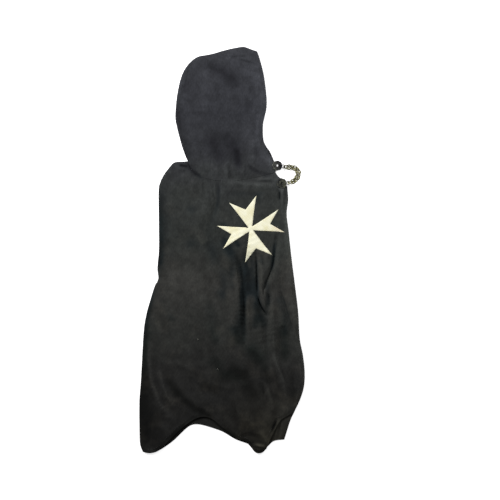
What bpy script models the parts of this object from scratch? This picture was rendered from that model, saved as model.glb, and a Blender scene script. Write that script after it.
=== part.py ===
import bmesh
import bpy
import numpy as np
from collections import namedtuple
from math import cos, pi, radians, sin
from mathutils import Matrix, Vector

# Hooded cape laid flat on its side: it is folded lengthwise along the centre back,
# so the near half lies on the far half. X runs from the back fold to the front
# edges, Y runs from hem to hood, and the far half rests on the plane Z = 0.

# Driving sizes, in metres
MM = 0.001
NAPE = np.array((-0.11635, 0.28906))
WALL = 2.4 * MM
SEAM_GAP = 0.3 * MM
FAR_TOP = WALL
NEAR_UNDERSIDE = FAR_TOP + SEAM_GAP
NEAR_EDGE_TOP = NEAR_UNDERSIDE + WALL
STEEPEST_WALL = 1.7
FOLD_TAPER = 0.3

BODY_PUFF = 2.3 * MM
HOOD_PUFF = 3.6 * MM
FOLD_RADIUS = 9 * MM
SEAM_RADIUS = 10 * MM
FREE_EDGE_WIDTH = 16 * MM
FREE_EDGE_RISE = 0.35

CROSS_CENTRE = (214, -218)
CROSS_TILT = radians(15)
CROSS_ARM = 115
CROSS_NOTCH = 68
CROSS_WAIST = 7
CROSS_TIP_ANGLES = (radians(20.5), radians(24.5))
CROSS_FLARE = 0.43
CROSS_THICK = 1.2 * MM
CROSS_MARGIN = 12

MEDALLION_RADIUS = 17.3 * MM
MEDALLION_SCALLOP = 0.035
MEDALLION_LOBES = 8
OPENING_SHARE = 0.35
OPENING_STRETCH = 0.5
SEAT_MARGIN = 4 * MM
LUG_RADIUS = 5.4 * MM
LUG_WIRE = 1.2 * MM
LUG_REACH = MEDALLION_RADIUS + 0.6 * LUG_RADIUS
LUG_PLAY = 0.6 * MM
LINK_WIRE = 1.4 * MM
LINK_PLAY = 2.5 * MM
LINK_ROLLS = (radians(-32), radians(9))
END_ROLL = radians(49)
LINK_COUNT = 11

# Edge lines of the laid cape. Each point is so many millimetres towards the
# front of the nape, and so many above it. A smooth curve runs through them.
EDGES = {
    "back shoulder": ((-52, 4), (-44, 9), (-30, 11), (-12, 11), (4, 13)),
    "neck seam": ((4, 13), (6, -4), (20, -24), (49, -43), (97, -54), (151, -56), (206, -49),
                  (255, -38), (298, -26)),
    "front shoulder": ((298, -26), (309, -41), (325, -52), (338, -75)),
    "back fold": ((-52, 4), (-66, -13), (-80, -32), (-93, -58), (-99, -92), (-98, -204), (-98, -289),
                  (-103, -350), (-100, -388), (-112, -411), (-128, -462), (-141, -510),
                  (-150, -571), (-159, -731), (-164, -800), (-164, -884), (-162, -945),
                  (-153, -974)),
    "near front": ((338, -75), (341, -119), (336, -167), (343, -228), (352, -313),
                   (364, -408), (375, -500), (380, -588), (391, -646), (397, -704),
                   (394, -755), (379, -802), (359, -838), (328, -858), (313, -870),
                   (287, -918), (267, -964)),
    "near hem": ((-153, -974), (-128, -979), (-97, -969), (-66, -938), (-20, -894),
                 (22, -864), (54, -855), (85, -864), (117, -891), (148, -914), (172, -932),
                 (196, -940), (212, -955), (230, -976), (250, -978), (267, -964)),
    "far front": ((338, -75), (341, -119), (334, -167), (341, -228), (350, -313),
                  (362, -408), (372, -500), (378, -588), (389, -646), (395, -704),
                  (393, -755), (380, -796), (365, -833), (349, -867), (337, -904),
                  (328, -933)),
    "far hem": ((-153, -974), (-128, -979), (-100, -971), (-76, -957), (-49, -937),
                (-26, -915), (-5, -895), (12, -884), (32, -881), (66, -888), (117, -906),
                (162, -932), (209, -950), (230, -971), (250, -972), (271, -957),
                (293, -938), (328, -933)),
    "hood back": ((4, 13), (-2, 27), (-9, 40), (-15, 54), (-24, 79), (-34, 116), (-42, 156),
                  (-41, 194), (-36, 238), (-27, 282), (-15, 316), (2, 342)),
    "hood crown": ((2, 342), (19, 358), (39, 369), (63, 373), (87, 378), (114, 386),
                   (141, 393), (165, 398), (185, 401), (199, 399), (216, 392), (235, 386)),
    "near face": ((298, -26), (294, -4), (285, 22), (273, 44), (262, 65), (257, 85),
                  (255, 112), (256, 139), (261, 163), (267, 190), (268, 224), (264, 265),
                  (258, 306), (250, 340), (242, 367), (235, 386)),
    "far face": ((298, -26), (300, -12), (296, 4), (288, 25), (279, 45), (262, 70),
                 (256, 90), (254, 112), (255, 143), (265, 187), (267, 224), (262, 265),
                 (250, 337), (235, 386)),
    "chain": ((345, -8), (357, -9), (369, -14), (376, -27), (373, -41), (363, -54)),
}
# Height of the chain at those points: it sags from the lugs until it rests
CHAIN_HEIGHTS = (7.6, 6.4, 5.6, 5.5, 6.0, 7.6)

# Bands of wall columns across the body: the edge line that they start on, the
# share of that line and of the hem that they take up, and how many columns the
# near and the far half have there.
Column = namedtuple("Column", "line start end hem_start hem_end near far")
BODY_COLUMNS = (
    Column("back shoulder", 0.00, 0.20, 0.000, 0.045, 2, 1),
    Column("back shoulder", 0.20, 1.00, 0.045, 0.190, 3, 2),
    Column("neck seam", 0.00, 0.03, 0.190, 0.215, 1, 1),
    Column("neck seam", 0.03, 0.37, 0.215, 0.550, 5, 3),
    Column("neck seam", 0.37, 0.98, 0.550, 0.850, 20, 4),
    Column("neck seam", 0.98, 1.00, 0.850, 0.860, 1, 1),
    Column("front shoulder", 0.00, 0.92, 0.860, 0.985, 5, 2),
    Column("front shoulder", 0.92, 1.00, 0.985, 1.000, 1, 1),
)
# Bands of rows, from neck to hem on the body and from neck to crown on the hood
Row = namedtuple("Row", "start end near far")
BODY_ROWS = (
    Row(0.000, 0.016, 2, 1),
    Row(0.016, 0.100, 7, 2),
    Row(0.100, 0.860, 26, 14),
    Row(0.860, 0.985, 7, 5),
    Row(0.985, 1.000, 2, 1),
)
HOOD_ROWS = (
    Row(0.00, 0.03, 2, 1),
    Row(0.03, 0.15, 3, 2),
    Row(0.15, 0.84, 11, 8),
    Row(0.84, 0.97, 4, 3),
    Row(0.97, 1.00, 2, 1),
)

# Folds of the near half. A fold runs from start past bend to end, in millimetres
# from the nape, rises by lift (a trough has a minus) and is as wide to its left
# and right as given.
Fold = namedtuple("Fold", "name start bend end lift left right")
BODY_FOLDS = (
    Fold("front swell", (150, -190), (240, -400), (290, -640), 8.5, 75, 66),
    Fold("ridge before long trough", (142, -262), (184, -380), (180, -570), 7.5, 8, 26),
    Fold("long trough", (166, -278), (190, -400), (192, -645), -8.0, 14, 8),
    Fold("middle valley", (206, -272), (210, -365), (214, -474), -10.0, 19, 20),
    Fold("valley ridge", (202, -424), (206, -490), (200, -580), 4.5, 8, 5),
    Fold("second trough", (231, -270), (238, -385), (237, -455), -7.0, 4, 7),
    Fold("second trough hook", (236, -436), (242, -480), (282, -522), -7.0, 5, 5),
    Fold("narrow ridge", (248, -270), (250, -400), (264, -505), 7.0, 10, 7),
    Fold("cloth before lap", (276, -262), (270, -330), (256, -396), 4.0, 13, 10),
    Fold("lapped crease", (303, -222), (298, -300), (282, -366), -8.5, 6, 5),
    Fold("lapped crease hook", (287, -340), (258, -388), (256, -446), -8.0, 6, 5),
    Fold("lap beside crease", (318, -235), (306, -340), (278, -430), 7.0, 24, 9),
    Fold("short trough", (272, -430), (278, -458), (274, -495), -5.5, 8, 8),
    Fold("front ridge", (286, -440), (288, -560), (300, -668), 7.5, 10, 12),
    Fold("slanting crease", (311, -416), (339, -494), (362, -584), -7.5, 5, 9),
    Fold("broad lower valley", (322, -530), (326, -600), (330, -690), -7.5, 15, 15),
    Fold("lower ridge", (284, -635), (318, -700), (344, -815), 8.0, 8, 10),
    Fold("lower front valley", (350, -692), (362, -752), (356, -835), -6.5, 10, 9),
    Fold("front edge swell", (330, -255), (356, -391), (376, -600), 4.5, 16, 16),
    Fold("lower front swell", (376, -600), (386, -690), (372, -790), 5.5, 18, 14),
    Fold("hollow above hem", (130, -702), (178, -711), (222, -726), -5.0, 16, 16),
    Fold("ridge above tip", (256, -727), (286, -800), (290, -866), 6.5, 14, 12),
    Fold("hollow beside ridge", (250, -735), (254, -760), (262, -795), -6.0, 7, 9),
    Fold("line below hollow", (150, -786), (160, -842), (186, -900), -4.5, 6, 8),
    Fold("back corner ridge", (-124, -570), (-147, -740), (-60, -862), 5.0, 9, 10),
    Fold("back corner trough", (-104, -640), (-106, -735), (-74, -805), -1.5, 7, 7),
    Fold("second corner ridge", (-96, -660), (-98, -764), (-36, -826), 4.0, 9, 8),
    Fold("corner arc trough", (-68, -715), (-58, -765), (-18, -802), -5.0, 9, 9),
    Fold("trough over hem arch", (-22, -798), (22, -832), (72, -848), -5.0, 11, 11),
    Fold("cross ridge", (-88, -672), (-26, -664), (46, -716), 3.5, 8, 12),
    Fold("swell over hem arch", (20, -770), (95, -800), (172, -886), 5.0, 22, 20),
    Fold("hem tip trough", (174, -930), (212, -896), (266, -940), -5.5, 5, 6),
    Fold("hem tip fold", (214, -948), (242, -950), (268, -958), 5.5, 5, 6),
    Fold("neck pleat", (98, -46), (116, -110), (72, -222), -5.0, 8, 9),
    Fold("neck pleat ridge", (76, -50), (80, -120), (44, -205), 4.5, 16, 12),
    Fold("collar ridge", (126, -60), (204, -68), (290, -70), 5.5, 9, 10),
    Fold("collar hollow", (122, -94), (196, -100), (282, -92), -2.5, 9, 12),
    Fold("front slit", (331, -80), (333, -115), (331, -150), -3.5, 6, 6),
    Fold("back notch", (-112, -378), (-92, -388), (-56, -384), -3.0, 10, 10),
    Fold("back dimple", (-70, -524), (-54, -532), (-36, -540), -2.0, 10, 10),
)
HOOD_FOLDS = (
    Fold("crown trough", (28, 346), (150, 332), (178, 240), -5.5, 20, 19),
    Fold("peak crease", (136, 368), (180, 356), (250, 328), -3.5, 6, 6),
    Fold("peak swell", (120, 360), (180, 375), (236, 350), 3.0, 18, 18),
    Fold("crown ridge", (46, 328), (78, 289), (100, 222), 4.5, 13, 14),
    Fold("face hollow", (224, 270), (220, 225), (206, 150), -4.5, 13, 15),
    Fold("throat swell", (206, 150), (208, 96), (222, 30), 5.5, 18, 15),
    Fold("throat trough", (120, 112), (172, 66), (170, -40), -6.5, 14, 20),
    Fold("throat band", (222, 84), (228, 40), (222, -4), 3.0, 9, 8),
    Fold("cheek swell", (90, 260), (130, 170), (110, 60), 3.0, 60, 50),
    Fold("neck bump", (131, 12), (134, -20), (138, -52), 4.0, 8, 8),
    Fold("neck puff", (20, 2), (110, -26), (250, -16), 3.5, 22, 22),
    Fold("nape crease", (-14, 86), (4, 68), (24, 54), -3.5, 7, 7),
    Fold("nape ridge", (14, 78), (32, 48), (50, 8), 3.5, 10, 9),
    Fold("throat crease", (200, 12), (223, -16), (256, -36), -3.0, 8, 8),
)

# Medallions: centre from the nape, and the turn of the lug from +X in degrees
Medallion = namedtuple("Medallion", "name centre turn")
MEDALLIONS = (
    Medallion("medallion_upper", (304, -3), -8),
    Medallion("medallion_lower", (319, -63), 4),
)
# Turned section of a medallion, from the back of its opening round to the front:
# share of the radius, and height in millimetres
Turned = namedtuple("Turned", "share height")
MEDALLION_PROFILE = (
    Turned(0.23, -1.1),
    Turned(0.92, -1.1),
    Turned(1.00, 0.0),
    Turned(0.93, 1.1),
    Turned(0.76, 0.4),
    Turned(0.29, 1.2),
)


def clear_scene():
    for old in list(bpy.data.objects):
        bpy.data.objects.remove(old, do_unlink=True)


def material(name, colour, roughness, metallic=0.0):
    made = bpy.data.materials.new(name)
    made.use_nodes = True
    shader = made.node_tree.nodes["Principled BSDF"]
    shader.inputs["Base Color"].default_value = (*colour, 1.0)
    shader.inputs["Roughness"].default_value = roughness
    shader.inputs["Metallic"].default_value = metallic
    return made


def add_object(name, bm, finish, smooth_angle=40):
    mesh = bpy.data.meshes.new(name)
    bm.to_mesh(mesh)
    bm.free()
    mesh.materials.append(finish)
    mesh.shade_smooth()
    mesh.set_sharp_from_angle(angle=radians(smooth_angle))
    obj = bpy.data.objects.new(name, mesh)
    bpy.context.collection.objects.link(obj)
    return obj


def smooth_line(points, steps=24):
    """A Catmull-Rom curve through the points, as a dense line."""
    pts = np.array(points, dtype=float)
    pts = np.vstack((2 * pts[0] - pts[1], pts, 2 * pts[-1] - pts[-2]))
    t = np.linspace(0, 1, steps, endpoint=False)[:, None]
    runs = []
    for a, b, c, d in zip(pts, pts[1:], pts[2:], pts[3:]):
        cubic = (3 * b - a - 3 * c + d) * t**3
        square = (2 * a - 5 * b + 4 * c - d) * t**2
        runs.append(0.5 * (2 * b + (c - a) * t + square + cubic))
    return np.vstack(runs + [pts[-2][None]])


def lengths(line):
    """Share of a line's length at each of its points."""
    reach = np.concatenate(([0], np.cumsum(np.linalg.norm(np.diff(line, axis=0), axis=1))))
    return reach / reach[-1]


def along(line, shares):
    """Points at these shares of a line's length."""
    reach = lengths(line)
    return np.stack([np.interp(shares, reach, values) for values in line.T], -1)


def edge(name):
    """An edge line in metres, in the part's own frame."""
    return NAPE + smooth_line(EDGES[name]) * MM


def patch(first, last, back, front, across, down):
    """Fills four edge lines with a grid that blends between them."""
    u = across[None, :, None]
    v = down[:, None, None]
    rows = (1 - u) * back[:, None] + u * front[:, None]
    columns = (1 - v) * first[None] + v * last[None]
    corners = (1 - v) * ((1 - u) * first[0] + u * first[-1])
    corners = corners + v * ((1 - u) * last[0] + u * last[-1])
    return rows + columns - corners


def unit(vector):
    return vector / np.linalg.norm(vector)


def distance_to(line, points):
    """Plan distance from each point to a line, one line piece at a time."""
    best = np.full(points.shape[:-1], np.inf)
    for start, end in zip(line[:-1], line[1:]):
        run = end - start
        share = np.clip(((points - start) @ run) / max(run @ run, 1e-12), 0, 1)
        best = np.minimum(best, np.linalg.norm(points - start - share[..., None] * run, axis=-1))
    return best


def fold_lift(points, folds, samples=28):
    """Sum of the folds' heights at plan points."""
    t = np.linspace(0, 1, samples)[:, None]
    total = np.zeros(points.shape[:-1])
    for fold in folds:
        a, b, c = (NAPE + np.array(p) * MM for p in (fold.start, fold.bend, fold.end))
        curve = (1 - t)**2 * a + 2 * t * (1 - t) * b + t**2 * c
        run = np.gradient(curve, axis=0)
        away = points[..., None, :] - curve
        gap = np.linalg.norm(away, axis=-1)
        near = gap.argmin(axis=-1)
        offset = np.take_along_axis(away, near[..., None, None], axis=-2)[..., 0, :]
        heading = run[near]
        side = offset[..., 0] * heading[..., 1] - offset[..., 1] * heading[..., 0]
        width = np.where(side < 0, fold.left, fold.right) * MM
        share = near / (samples - 1)
        taper = np.clip(np.minimum(share, 1 - share) / FOLD_TAPER, 0, 1)
        taper = taper * taper * (3 - 2 * taper)
        total += fold.lift * MM * taper * np.exp(-(gap.min(axis=-1) / width)**2)
    return total


def edge_rise(points, rolled, free):
    """Share of full height: 0 at a rolled edge, FREE_EDGE_RISE at a free one."""
    rise = np.ones(points.shape[:-1])
    for name, radius in rolled:
        ratio = np.clip(distance_to(edge(name), points) / radius, 0, 1)
        rise = np.minimum(rise, np.sqrt(1 - (1 - ratio)**2))
    for name in free:
        ratio = np.clip(distance_to(edge(name), points) / FREE_EDGE_WIDTH, 0, 1)
        eased = ratio * ratio * (3 - 2 * ratio)
        rise = np.minimum(rise, FREE_EDGE_RISE + (1 - FREE_EDGE_RISE) * eased)
    return rise


def body_height(points):
    rolled = (("back fold", FOLD_RADIUS), ("back shoulder", FOLD_RADIUS),
              ("neck seam", SEAM_RADIUS))
    free = ("front shoulder", "near front", "near hem")
    return lifted(BODY_PUFF + fold_lift(points, BODY_FOLDS), edge_rise(points, rolled, free))


def hood_height(points):
    rolled = (("hood back", FOLD_RADIUS), ("hood crown", FOLD_RADIUS),
              ("neck seam", SEAM_RADIUS))
    return lifted(HOOD_PUFF + fold_lift(points, HOOD_FOLDS), edge_rise(points, rolled, ("near face",)))


def lifted(lift, rise, softness=1.2 * MM):
    """Height of the outer face, which eases to its lowest where folds sink."""
    eased = 0.5 * (lift + np.sqrt(lift**2 + softness**2))
    return NEAR_EDGE_TOP + rise * eased


def near_wall(plan, height):
    """Outer and inner points of a near wall, the inner ones straight below."""
    step = 1.0 * MM
    slope = np.hypot(*((height(plan + move) - height(plan - move)) / (2 * step)
                       for move in (np.array((step, 0)), np.array((0, step)))))
    outer = height(plan)
    thick = WALL * np.minimum(np.sqrt(1 + slope**2), STEEPEST_WALL)
    inner = np.maximum(outer - thick, NEAR_UNDERSIDE)
    return np.dstack((plan, outer)), np.dstack((plan, inner))


def far_wall(plan):
    flat = np.zeros(plan.shape[:2])
    return np.dstack((plan, flat + FAR_TOP)), np.dstack((plan, flat))


def shell(outer, inner):
    """A closed wall between two grids of points."""
    rows, columns = outer.shape[:2]
    bm = bmesh.new()
    bmesh.ops.create_grid(bm, x_segments=columns - 1, y_segments=rows - 1, size=0.5)
    place = bm.verts.layers.int.new("place")
    for vert in bm.verts:
        i = round((vert.co.x + 0.5) * (columns - 1))
        j = round((vert.co.y + 0.5) * (rows - 1))
        vert[place] = j * columns + i
        vert.co = outer[j, i]
    bmesh.ops.triangulate(bm, faces=bm.faces[:], quad_method="FIXED")
    grown = bmesh.ops.extrude_face_region(bm, geom=bm.faces[:], use_keep_orig=True)
    inside = inner.reshape(-1, 3)
    for vert in (item for item in grown["geom"] if isinstance(item, bmesh.types.BMVert)):
        vert.co = inside[vert[place]]
    bmesh.ops.recalc_face_normals(bm, faces=bm.faces[:])
    return bm


def row_shares(rows, half):
    shares = [0.0]
    for row in rows:
        shares += list(np.linspace(row.start, row.end, getattr(row, half) + 1)[1:])
    return np.array(shares)


def body_grid(half):
    """Plan grid of a half of the body, and its points on the neck seam."""
    first, hem_shares, seam = [edge("back shoulder")[0]], [0.0], []
    for band in BODY_COLUMNS:
        count = getattr(band, half)
        points = along(edge(band.line), np.linspace(band.start, band.end, count + 1)[1:])
        if band.line == "neck seam":
            seam = (seam or [first[-1]]) + list(points)
        first += list(points)
        hem_shares += list(np.linspace(band.hem_start, band.hem_end, count + 1)[1:])
    first = np.array(first)
    down = row_shares(BODY_ROWS, half)
    back = along(edge("back fold"), down)
    front = along(edge(half + " front"), down)
    hem = along(edge(half + " hem"), hem_shares)
    return patch(first, hem, back, front, lengths(first), down), np.array(seam)


def hood_grid(half, seam):
    """Plan grid of a half of the hood, which starts just above the neck seam."""
    run = np.gradient(seam, axis=0)
    across = np.stack((-run[:, 1], run[:, 0]), -1)
    first = seam + SEAM_GAP * across / np.linalg.norm(across, axis=1)[:, None]
    shares = lengths(first)
    up = row_shares(HOOD_ROWS, half)
    back = along(edge("hood back"), up)
    face = along(edge(half + " face"), up)
    back[0], face[0] = first[0], first[-1]
    return patch(first, along(edge("hood crown"), shares), back, face, shares, up)


def cross_outline():
    """Outline of the eight-pointed cross, with arms that flare in a gentle curve."""
    points = []
    share = np.linspace(0, 1, 5)[:-1, None]
    for quarter in range(4):
        spread = CROSS_TIP_ANGLES[quarter % 2]
        tip = CROSS_ARM * np.array((cos(spread), sin(spread)))
        low_tip = tip * (1, -1)
        corner = CROSS_WAIST * np.array((1, 1))
        notch = np.array((CROSS_NOTCH, 0))
        bow = np.array((0.5 * tip[0], CROSS_FLARE * tip[1] + 0.5 * CROSS_WAIST))
        rise = (1 - share)**2 * corner * (1, -1) + 2 * share * (1 - share) * bow * (1, -1)
        arm = [rise + share**2 * low_tip]
        arm.append(low_tip + (notch - low_tip) * np.array([[0.0], [0.5]]))
        arm.append(notch + (tip - notch) * np.array([[0.0], [0.5]]))
        back = (1 - share)**2 * tip + 2 * share * (1 - share) * bow + share**2 * corner
        arm.append(back)
        turn = CROSS_TILT + quarter * pi / 2
        spin = np.array(((cos(turn), sin(turn)), (-sin(turn), cos(turn))))
        points.append(np.vstack(arm) @ spin)
    return NAPE + (np.array(CROSS_CENTRE) + np.vstack(points)) * MM


def grid_normals(grid):
    normal = np.cross(np.gradient(grid, axis=1), np.gradient(grid, axis=0))
    normal /= np.linalg.norm(normal, axis=-1)[..., None]
    return normal * np.sign(normal[..., 2:3])


def make_cross(outer, finish):
    """The cross, cut from the panel's own points moved out by a seam gap."""
    centre = NAPE + np.array(CROSS_CENTRE) * MM
    close = np.linalg.norm(outer[..., :2] - centre, axis=-1) < (CROSS_ARM + CROSS_MARGIN) * MM
    rows, columns = np.nonzero(close)
    window = (slice(rows.min() - 1, rows.max() + 2), slice(columns.min() - 1, columns.max() + 2))
    normals = grid_normals(outer)[window]
    base = outer[window]
    slab = shell(base + normals * (SEAM_GAP + CROSS_THICK), base + normals * SEAM_GAP)
    cross = add_object("cross", slab, finish)

    cutter_mesh = bmesh.new()
    ring = [cutter_mesh.verts.new((x, y, 0)) for x, y in cross_outline()]
    face = cutter_mesh.faces.new(ring)
    grown = bmesh.ops.extrude_face_region(cutter_mesh, geom=[face])
    raised = [item for item in grown["geom"] if isinstance(item, bmesh.types.BMVert)]
    bmesh.ops.translate(cutter_mesh, verts=raised, vec=(0, 0, 60 * MM))
    bmesh.ops.recalc_face_normals(cutter_mesh, faces=cutter_mesh.faces[:])
    cutter = add_object("cross_outline", cutter_mesh, finish)
    cutter.hide_render = True
    cutter.display_type = "WIRE"
    cut = cross.modifiers.new("outline", "BOOLEAN")
    cut.operation = "INTERSECT"
    cut.solver = "EXACT"
    cut.object = cutter
    return cross


def ring_mesh(radius, wire, segments, sides):
    """A round wire ring in the XY plane."""
    bm = bmesh.new()
    section = bmesh.ops.create_circle(bm, segments=sides, radius=wire)["verts"]
    bmesh.ops.rotate(bm, verts=section, cent=(0, 0, 0), matrix=Matrix.Rotation(pi / 2, 3, "X"))
    bmesh.ops.translate(bm, verts=section, vec=(radius, 0, 0))
    bmesh.ops.spin(bm, geom=bm.verts[:] + bm.edges[:], cent=(0, 0, 0), axis=(0, 0, 1),
                   angle=2 * pi, steps=segments, use_merge=True)
    bmesh.ops.recalc_face_normals(bm, faces=bm.faces[:])
    return bm


def make_medallion(name, centre, turn, height, finish):
    """A scalloped medallion with a long middle opening and a lug for the chain."""
    bm = bmesh.new()
    ring = [bm.verts.new((turned.share * MEDALLION_RADIUS, 0, turned.height * MM))
            for turned in MEDALLION_PROFILE]
    for a, b in zip(ring, ring[1:] + ring[:1]):
        bm.edges.new((a, b))
    bmesh.ops.spin(bm, geom=bm.verts[:] + bm.edges[:], cent=(0, 0, 0), axis=(0, 0, 1),
                   angle=2 * pi, steps=24, use_merge=True)
    for vert in bm.verts:
        angle = np.arctan2(vert.co.y, vert.co.x)
        share = vert.co.xy.length / MEDALLION_RADIUS
        grow = 1 + MEDALLION_SCALLOP * share**2 * cos(MEDALLION_LOBES * angle)
        vert.co.x *= grow
        vert.co.y *= grow * (1 + OPENING_STRETCH * max(0.0, 1 - share / OPENING_SHARE))
    bmesh.ops.recalc_face_normals(bm, faces=bm.faces[:])
    place = Matrix.Translation((*centre, height)) @ Matrix.Rotation(radians(turn), 4, "Z")
    disc = add_object(name, bm, finish)
    disc.matrix_world = place
    lug = add_object(name + "_lug", ring_mesh(LUG_RADIUS, LUG_WIRE, 12, 5), finish)
    lug.matrix_world = place @ Matrix.Translation((LUG_REACH, 0, 0))
    lug.hide_render = True
    lug.display_type = "WIRE"
    join = disc.modifiers.new("lug", "BOOLEAN")
    join.operation = "UNION"
    join.solver = "EXACT"
    join.object = lug
    return np.array(place @ Vector((LUG_REACH, 0, 0)))


def march(line, pitch, count):
    """Points on a line, each one pitch from the last as the crow flies."""
    fine = along(line, np.linspace(0, 1, 4000))
    found, index = [fine[0]], 0
    for _ in range(count):
        gaps = np.linalg.norm(fine[index:] - found[-1], axis=1)
        ahead = np.argmax(gaps >= pitch)
        if gaps[ahead] < pitch:
            return found, False
        index += ahead
        found.append(fine[index])
    return found, True


def make_chain(start, end, finish):
    """Round links that hang in each other, spaced evenly along the chain's route."""
    route = NAPE + np.array(EDGES["chain"]) * MM
    inner = np.column_stack((route, np.array(CHAIN_HEIGHTS) * MM))
    hold = LINK_WIRE + 0.5 * LINK_PLAY
    reach = LUG_RADIUS - LUG_WIRE - LINK_WIRE - LUG_PLAY + hold
    start = start + reach * unit(inner[0] - start)
    end = end + reach * unit(inner[-1] - end)
    line = smooth_line(np.vstack((start, inner, end)))
    low, high = 5 * MM, 20 * MM
    for _ in range(40):
        pitch = 0.5 * (low + high)
        low, high = (pitch, high) if march(line, pitch, LINK_COUNT)[1] else (low, pitch)
    joints = march(line, low, LINK_COUNT)[0]
    bm = ring_mesh(0.5 * low + hold, LINK_WIRE, 12, 5)
    for index, (a, b) in enumerate(zip(joints, joints[1:])):
        link = add_object(f"link_{index + 1:02d}", bm.copy(), finish)
        heading = Vector(b - a).normalized()
        turn = heading.to_track_quat("X", "Z").to_matrix().to_4x4()
        angle = END_ROLL if index in (0, LINK_COUNT - 1) else LINK_ROLLS[index % 2]
        roll = Matrix.Rotation(angle, 4, "X")
        link.matrix_world = Matrix.Translation(Vector(0.5 * (a + b))) @ turn @ roll
    bm.free()


def main():
    clear_scene()
    body_cloth = material("brushed_cotton_body", (0.030, 0.031, 0.030), 0.9)
    hood_cloth = material("brushed_cotton_hood", (0.037, 0.038, 0.043), 0.9)
    cross_cloth = material("cream_cotton", (0.78, 0.76, 0.62), 0.85)
    dark_metal = material("oxidised_brass", (0.045, 0.047, 0.036), 0.45, 1.0)
    chain_metal = material("antique_brass", (0.28, 0.28, 0.19), 0.35, 1.0)

    far_body, far_seam = body_grid("far")
    add_object("body_far", shell(*far_wall(far_body)), body_cloth)
    add_object("hood_far", shell(*far_wall(hood_grid("far", far_seam))), hood_cloth)

    near_body, near_seam = body_grid("near")
    body_outer, body_inner = near_wall(near_body, body_height)
    add_object("body_near", shell(body_outer, body_inner), body_cloth)
    hood_outer, hood_inner = near_wall(hood_grid("near", near_seam), hood_height)
    add_object("hood_near", shell(hood_outer, hood_inner), hood_cloth)
    make_cross(body_outer, cross_cloth)

    cloth_tops = np.vstack((body_outer.reshape(-1, 3), hood_outer.reshape(-1, 3)))
    lugs = []
    for name, where, turn in MEDALLIONS:
        centre = NAPE + np.array(where) * MM
        under = np.linalg.norm(cloth_tops[:, :2] - centre, axis=1) < MEDALLION_RADIUS + SEAT_MARGIN
        seat = cloth_tops[under, 2].max()
        height = seat + SEAM_GAP - MEDALLION_PROFILE[0].height * MM
        lugs.append(make_medallion(name, centre, turn, height, dark_metal))
    make_chain(lugs[0], lugs[1], chain_metal)


main()
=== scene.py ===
import math

import bmesh
import bpy
import numpy as np
from mathutils import Matrix, Vector, noise


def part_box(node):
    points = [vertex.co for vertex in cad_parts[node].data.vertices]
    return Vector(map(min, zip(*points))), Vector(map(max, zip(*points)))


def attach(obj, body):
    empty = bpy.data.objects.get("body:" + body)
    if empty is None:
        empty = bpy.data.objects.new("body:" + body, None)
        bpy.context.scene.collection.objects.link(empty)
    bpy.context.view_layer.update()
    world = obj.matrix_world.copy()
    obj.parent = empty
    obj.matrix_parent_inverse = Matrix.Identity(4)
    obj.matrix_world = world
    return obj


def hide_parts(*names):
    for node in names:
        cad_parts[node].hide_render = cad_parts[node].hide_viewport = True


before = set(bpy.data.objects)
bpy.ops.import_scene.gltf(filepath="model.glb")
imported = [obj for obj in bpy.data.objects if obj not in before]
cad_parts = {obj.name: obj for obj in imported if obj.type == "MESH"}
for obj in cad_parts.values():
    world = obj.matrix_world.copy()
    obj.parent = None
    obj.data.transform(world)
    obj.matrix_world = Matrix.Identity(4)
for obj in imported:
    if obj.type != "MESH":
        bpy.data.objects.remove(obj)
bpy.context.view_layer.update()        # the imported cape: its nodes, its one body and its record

mm = 0.001
nape = np.array((-0.11635, 0.28906))  # where the back of the hood meets the body

# how the cloth lies, the same sizes as the solids have
lay = {
    "wall": 2.4 * mm,
    "seamGap": 0.3 * mm,
    "sewnGap": 0.04 * mm,  # a sewn seam closes further than two solids may
    "bodyPuff": 2.3 * mm,
    "hoodPuff": 3.6 * mm,
    "foldRadius": 9 * mm,
    "freeWidth": 16 * mm,  # how far in a loose edge keeps drooping
    "freeRise": 0.35,
    "softness": 1.2 * mm,
    "taper": 0.3,  # the share of a fold that each of its ends takes to fade in
    "steepest": 1.7,  # the most that a steep wall's height may grow
    "nearRim": 0.9 * mm, "farRim": 0.8 * mm,  # how far the rims are rounded
}
farTop = lay["wall"]
nearUnder = farTop + lay["seamGap"]
nearEdge = nearUnder + lay["wall"]

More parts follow.
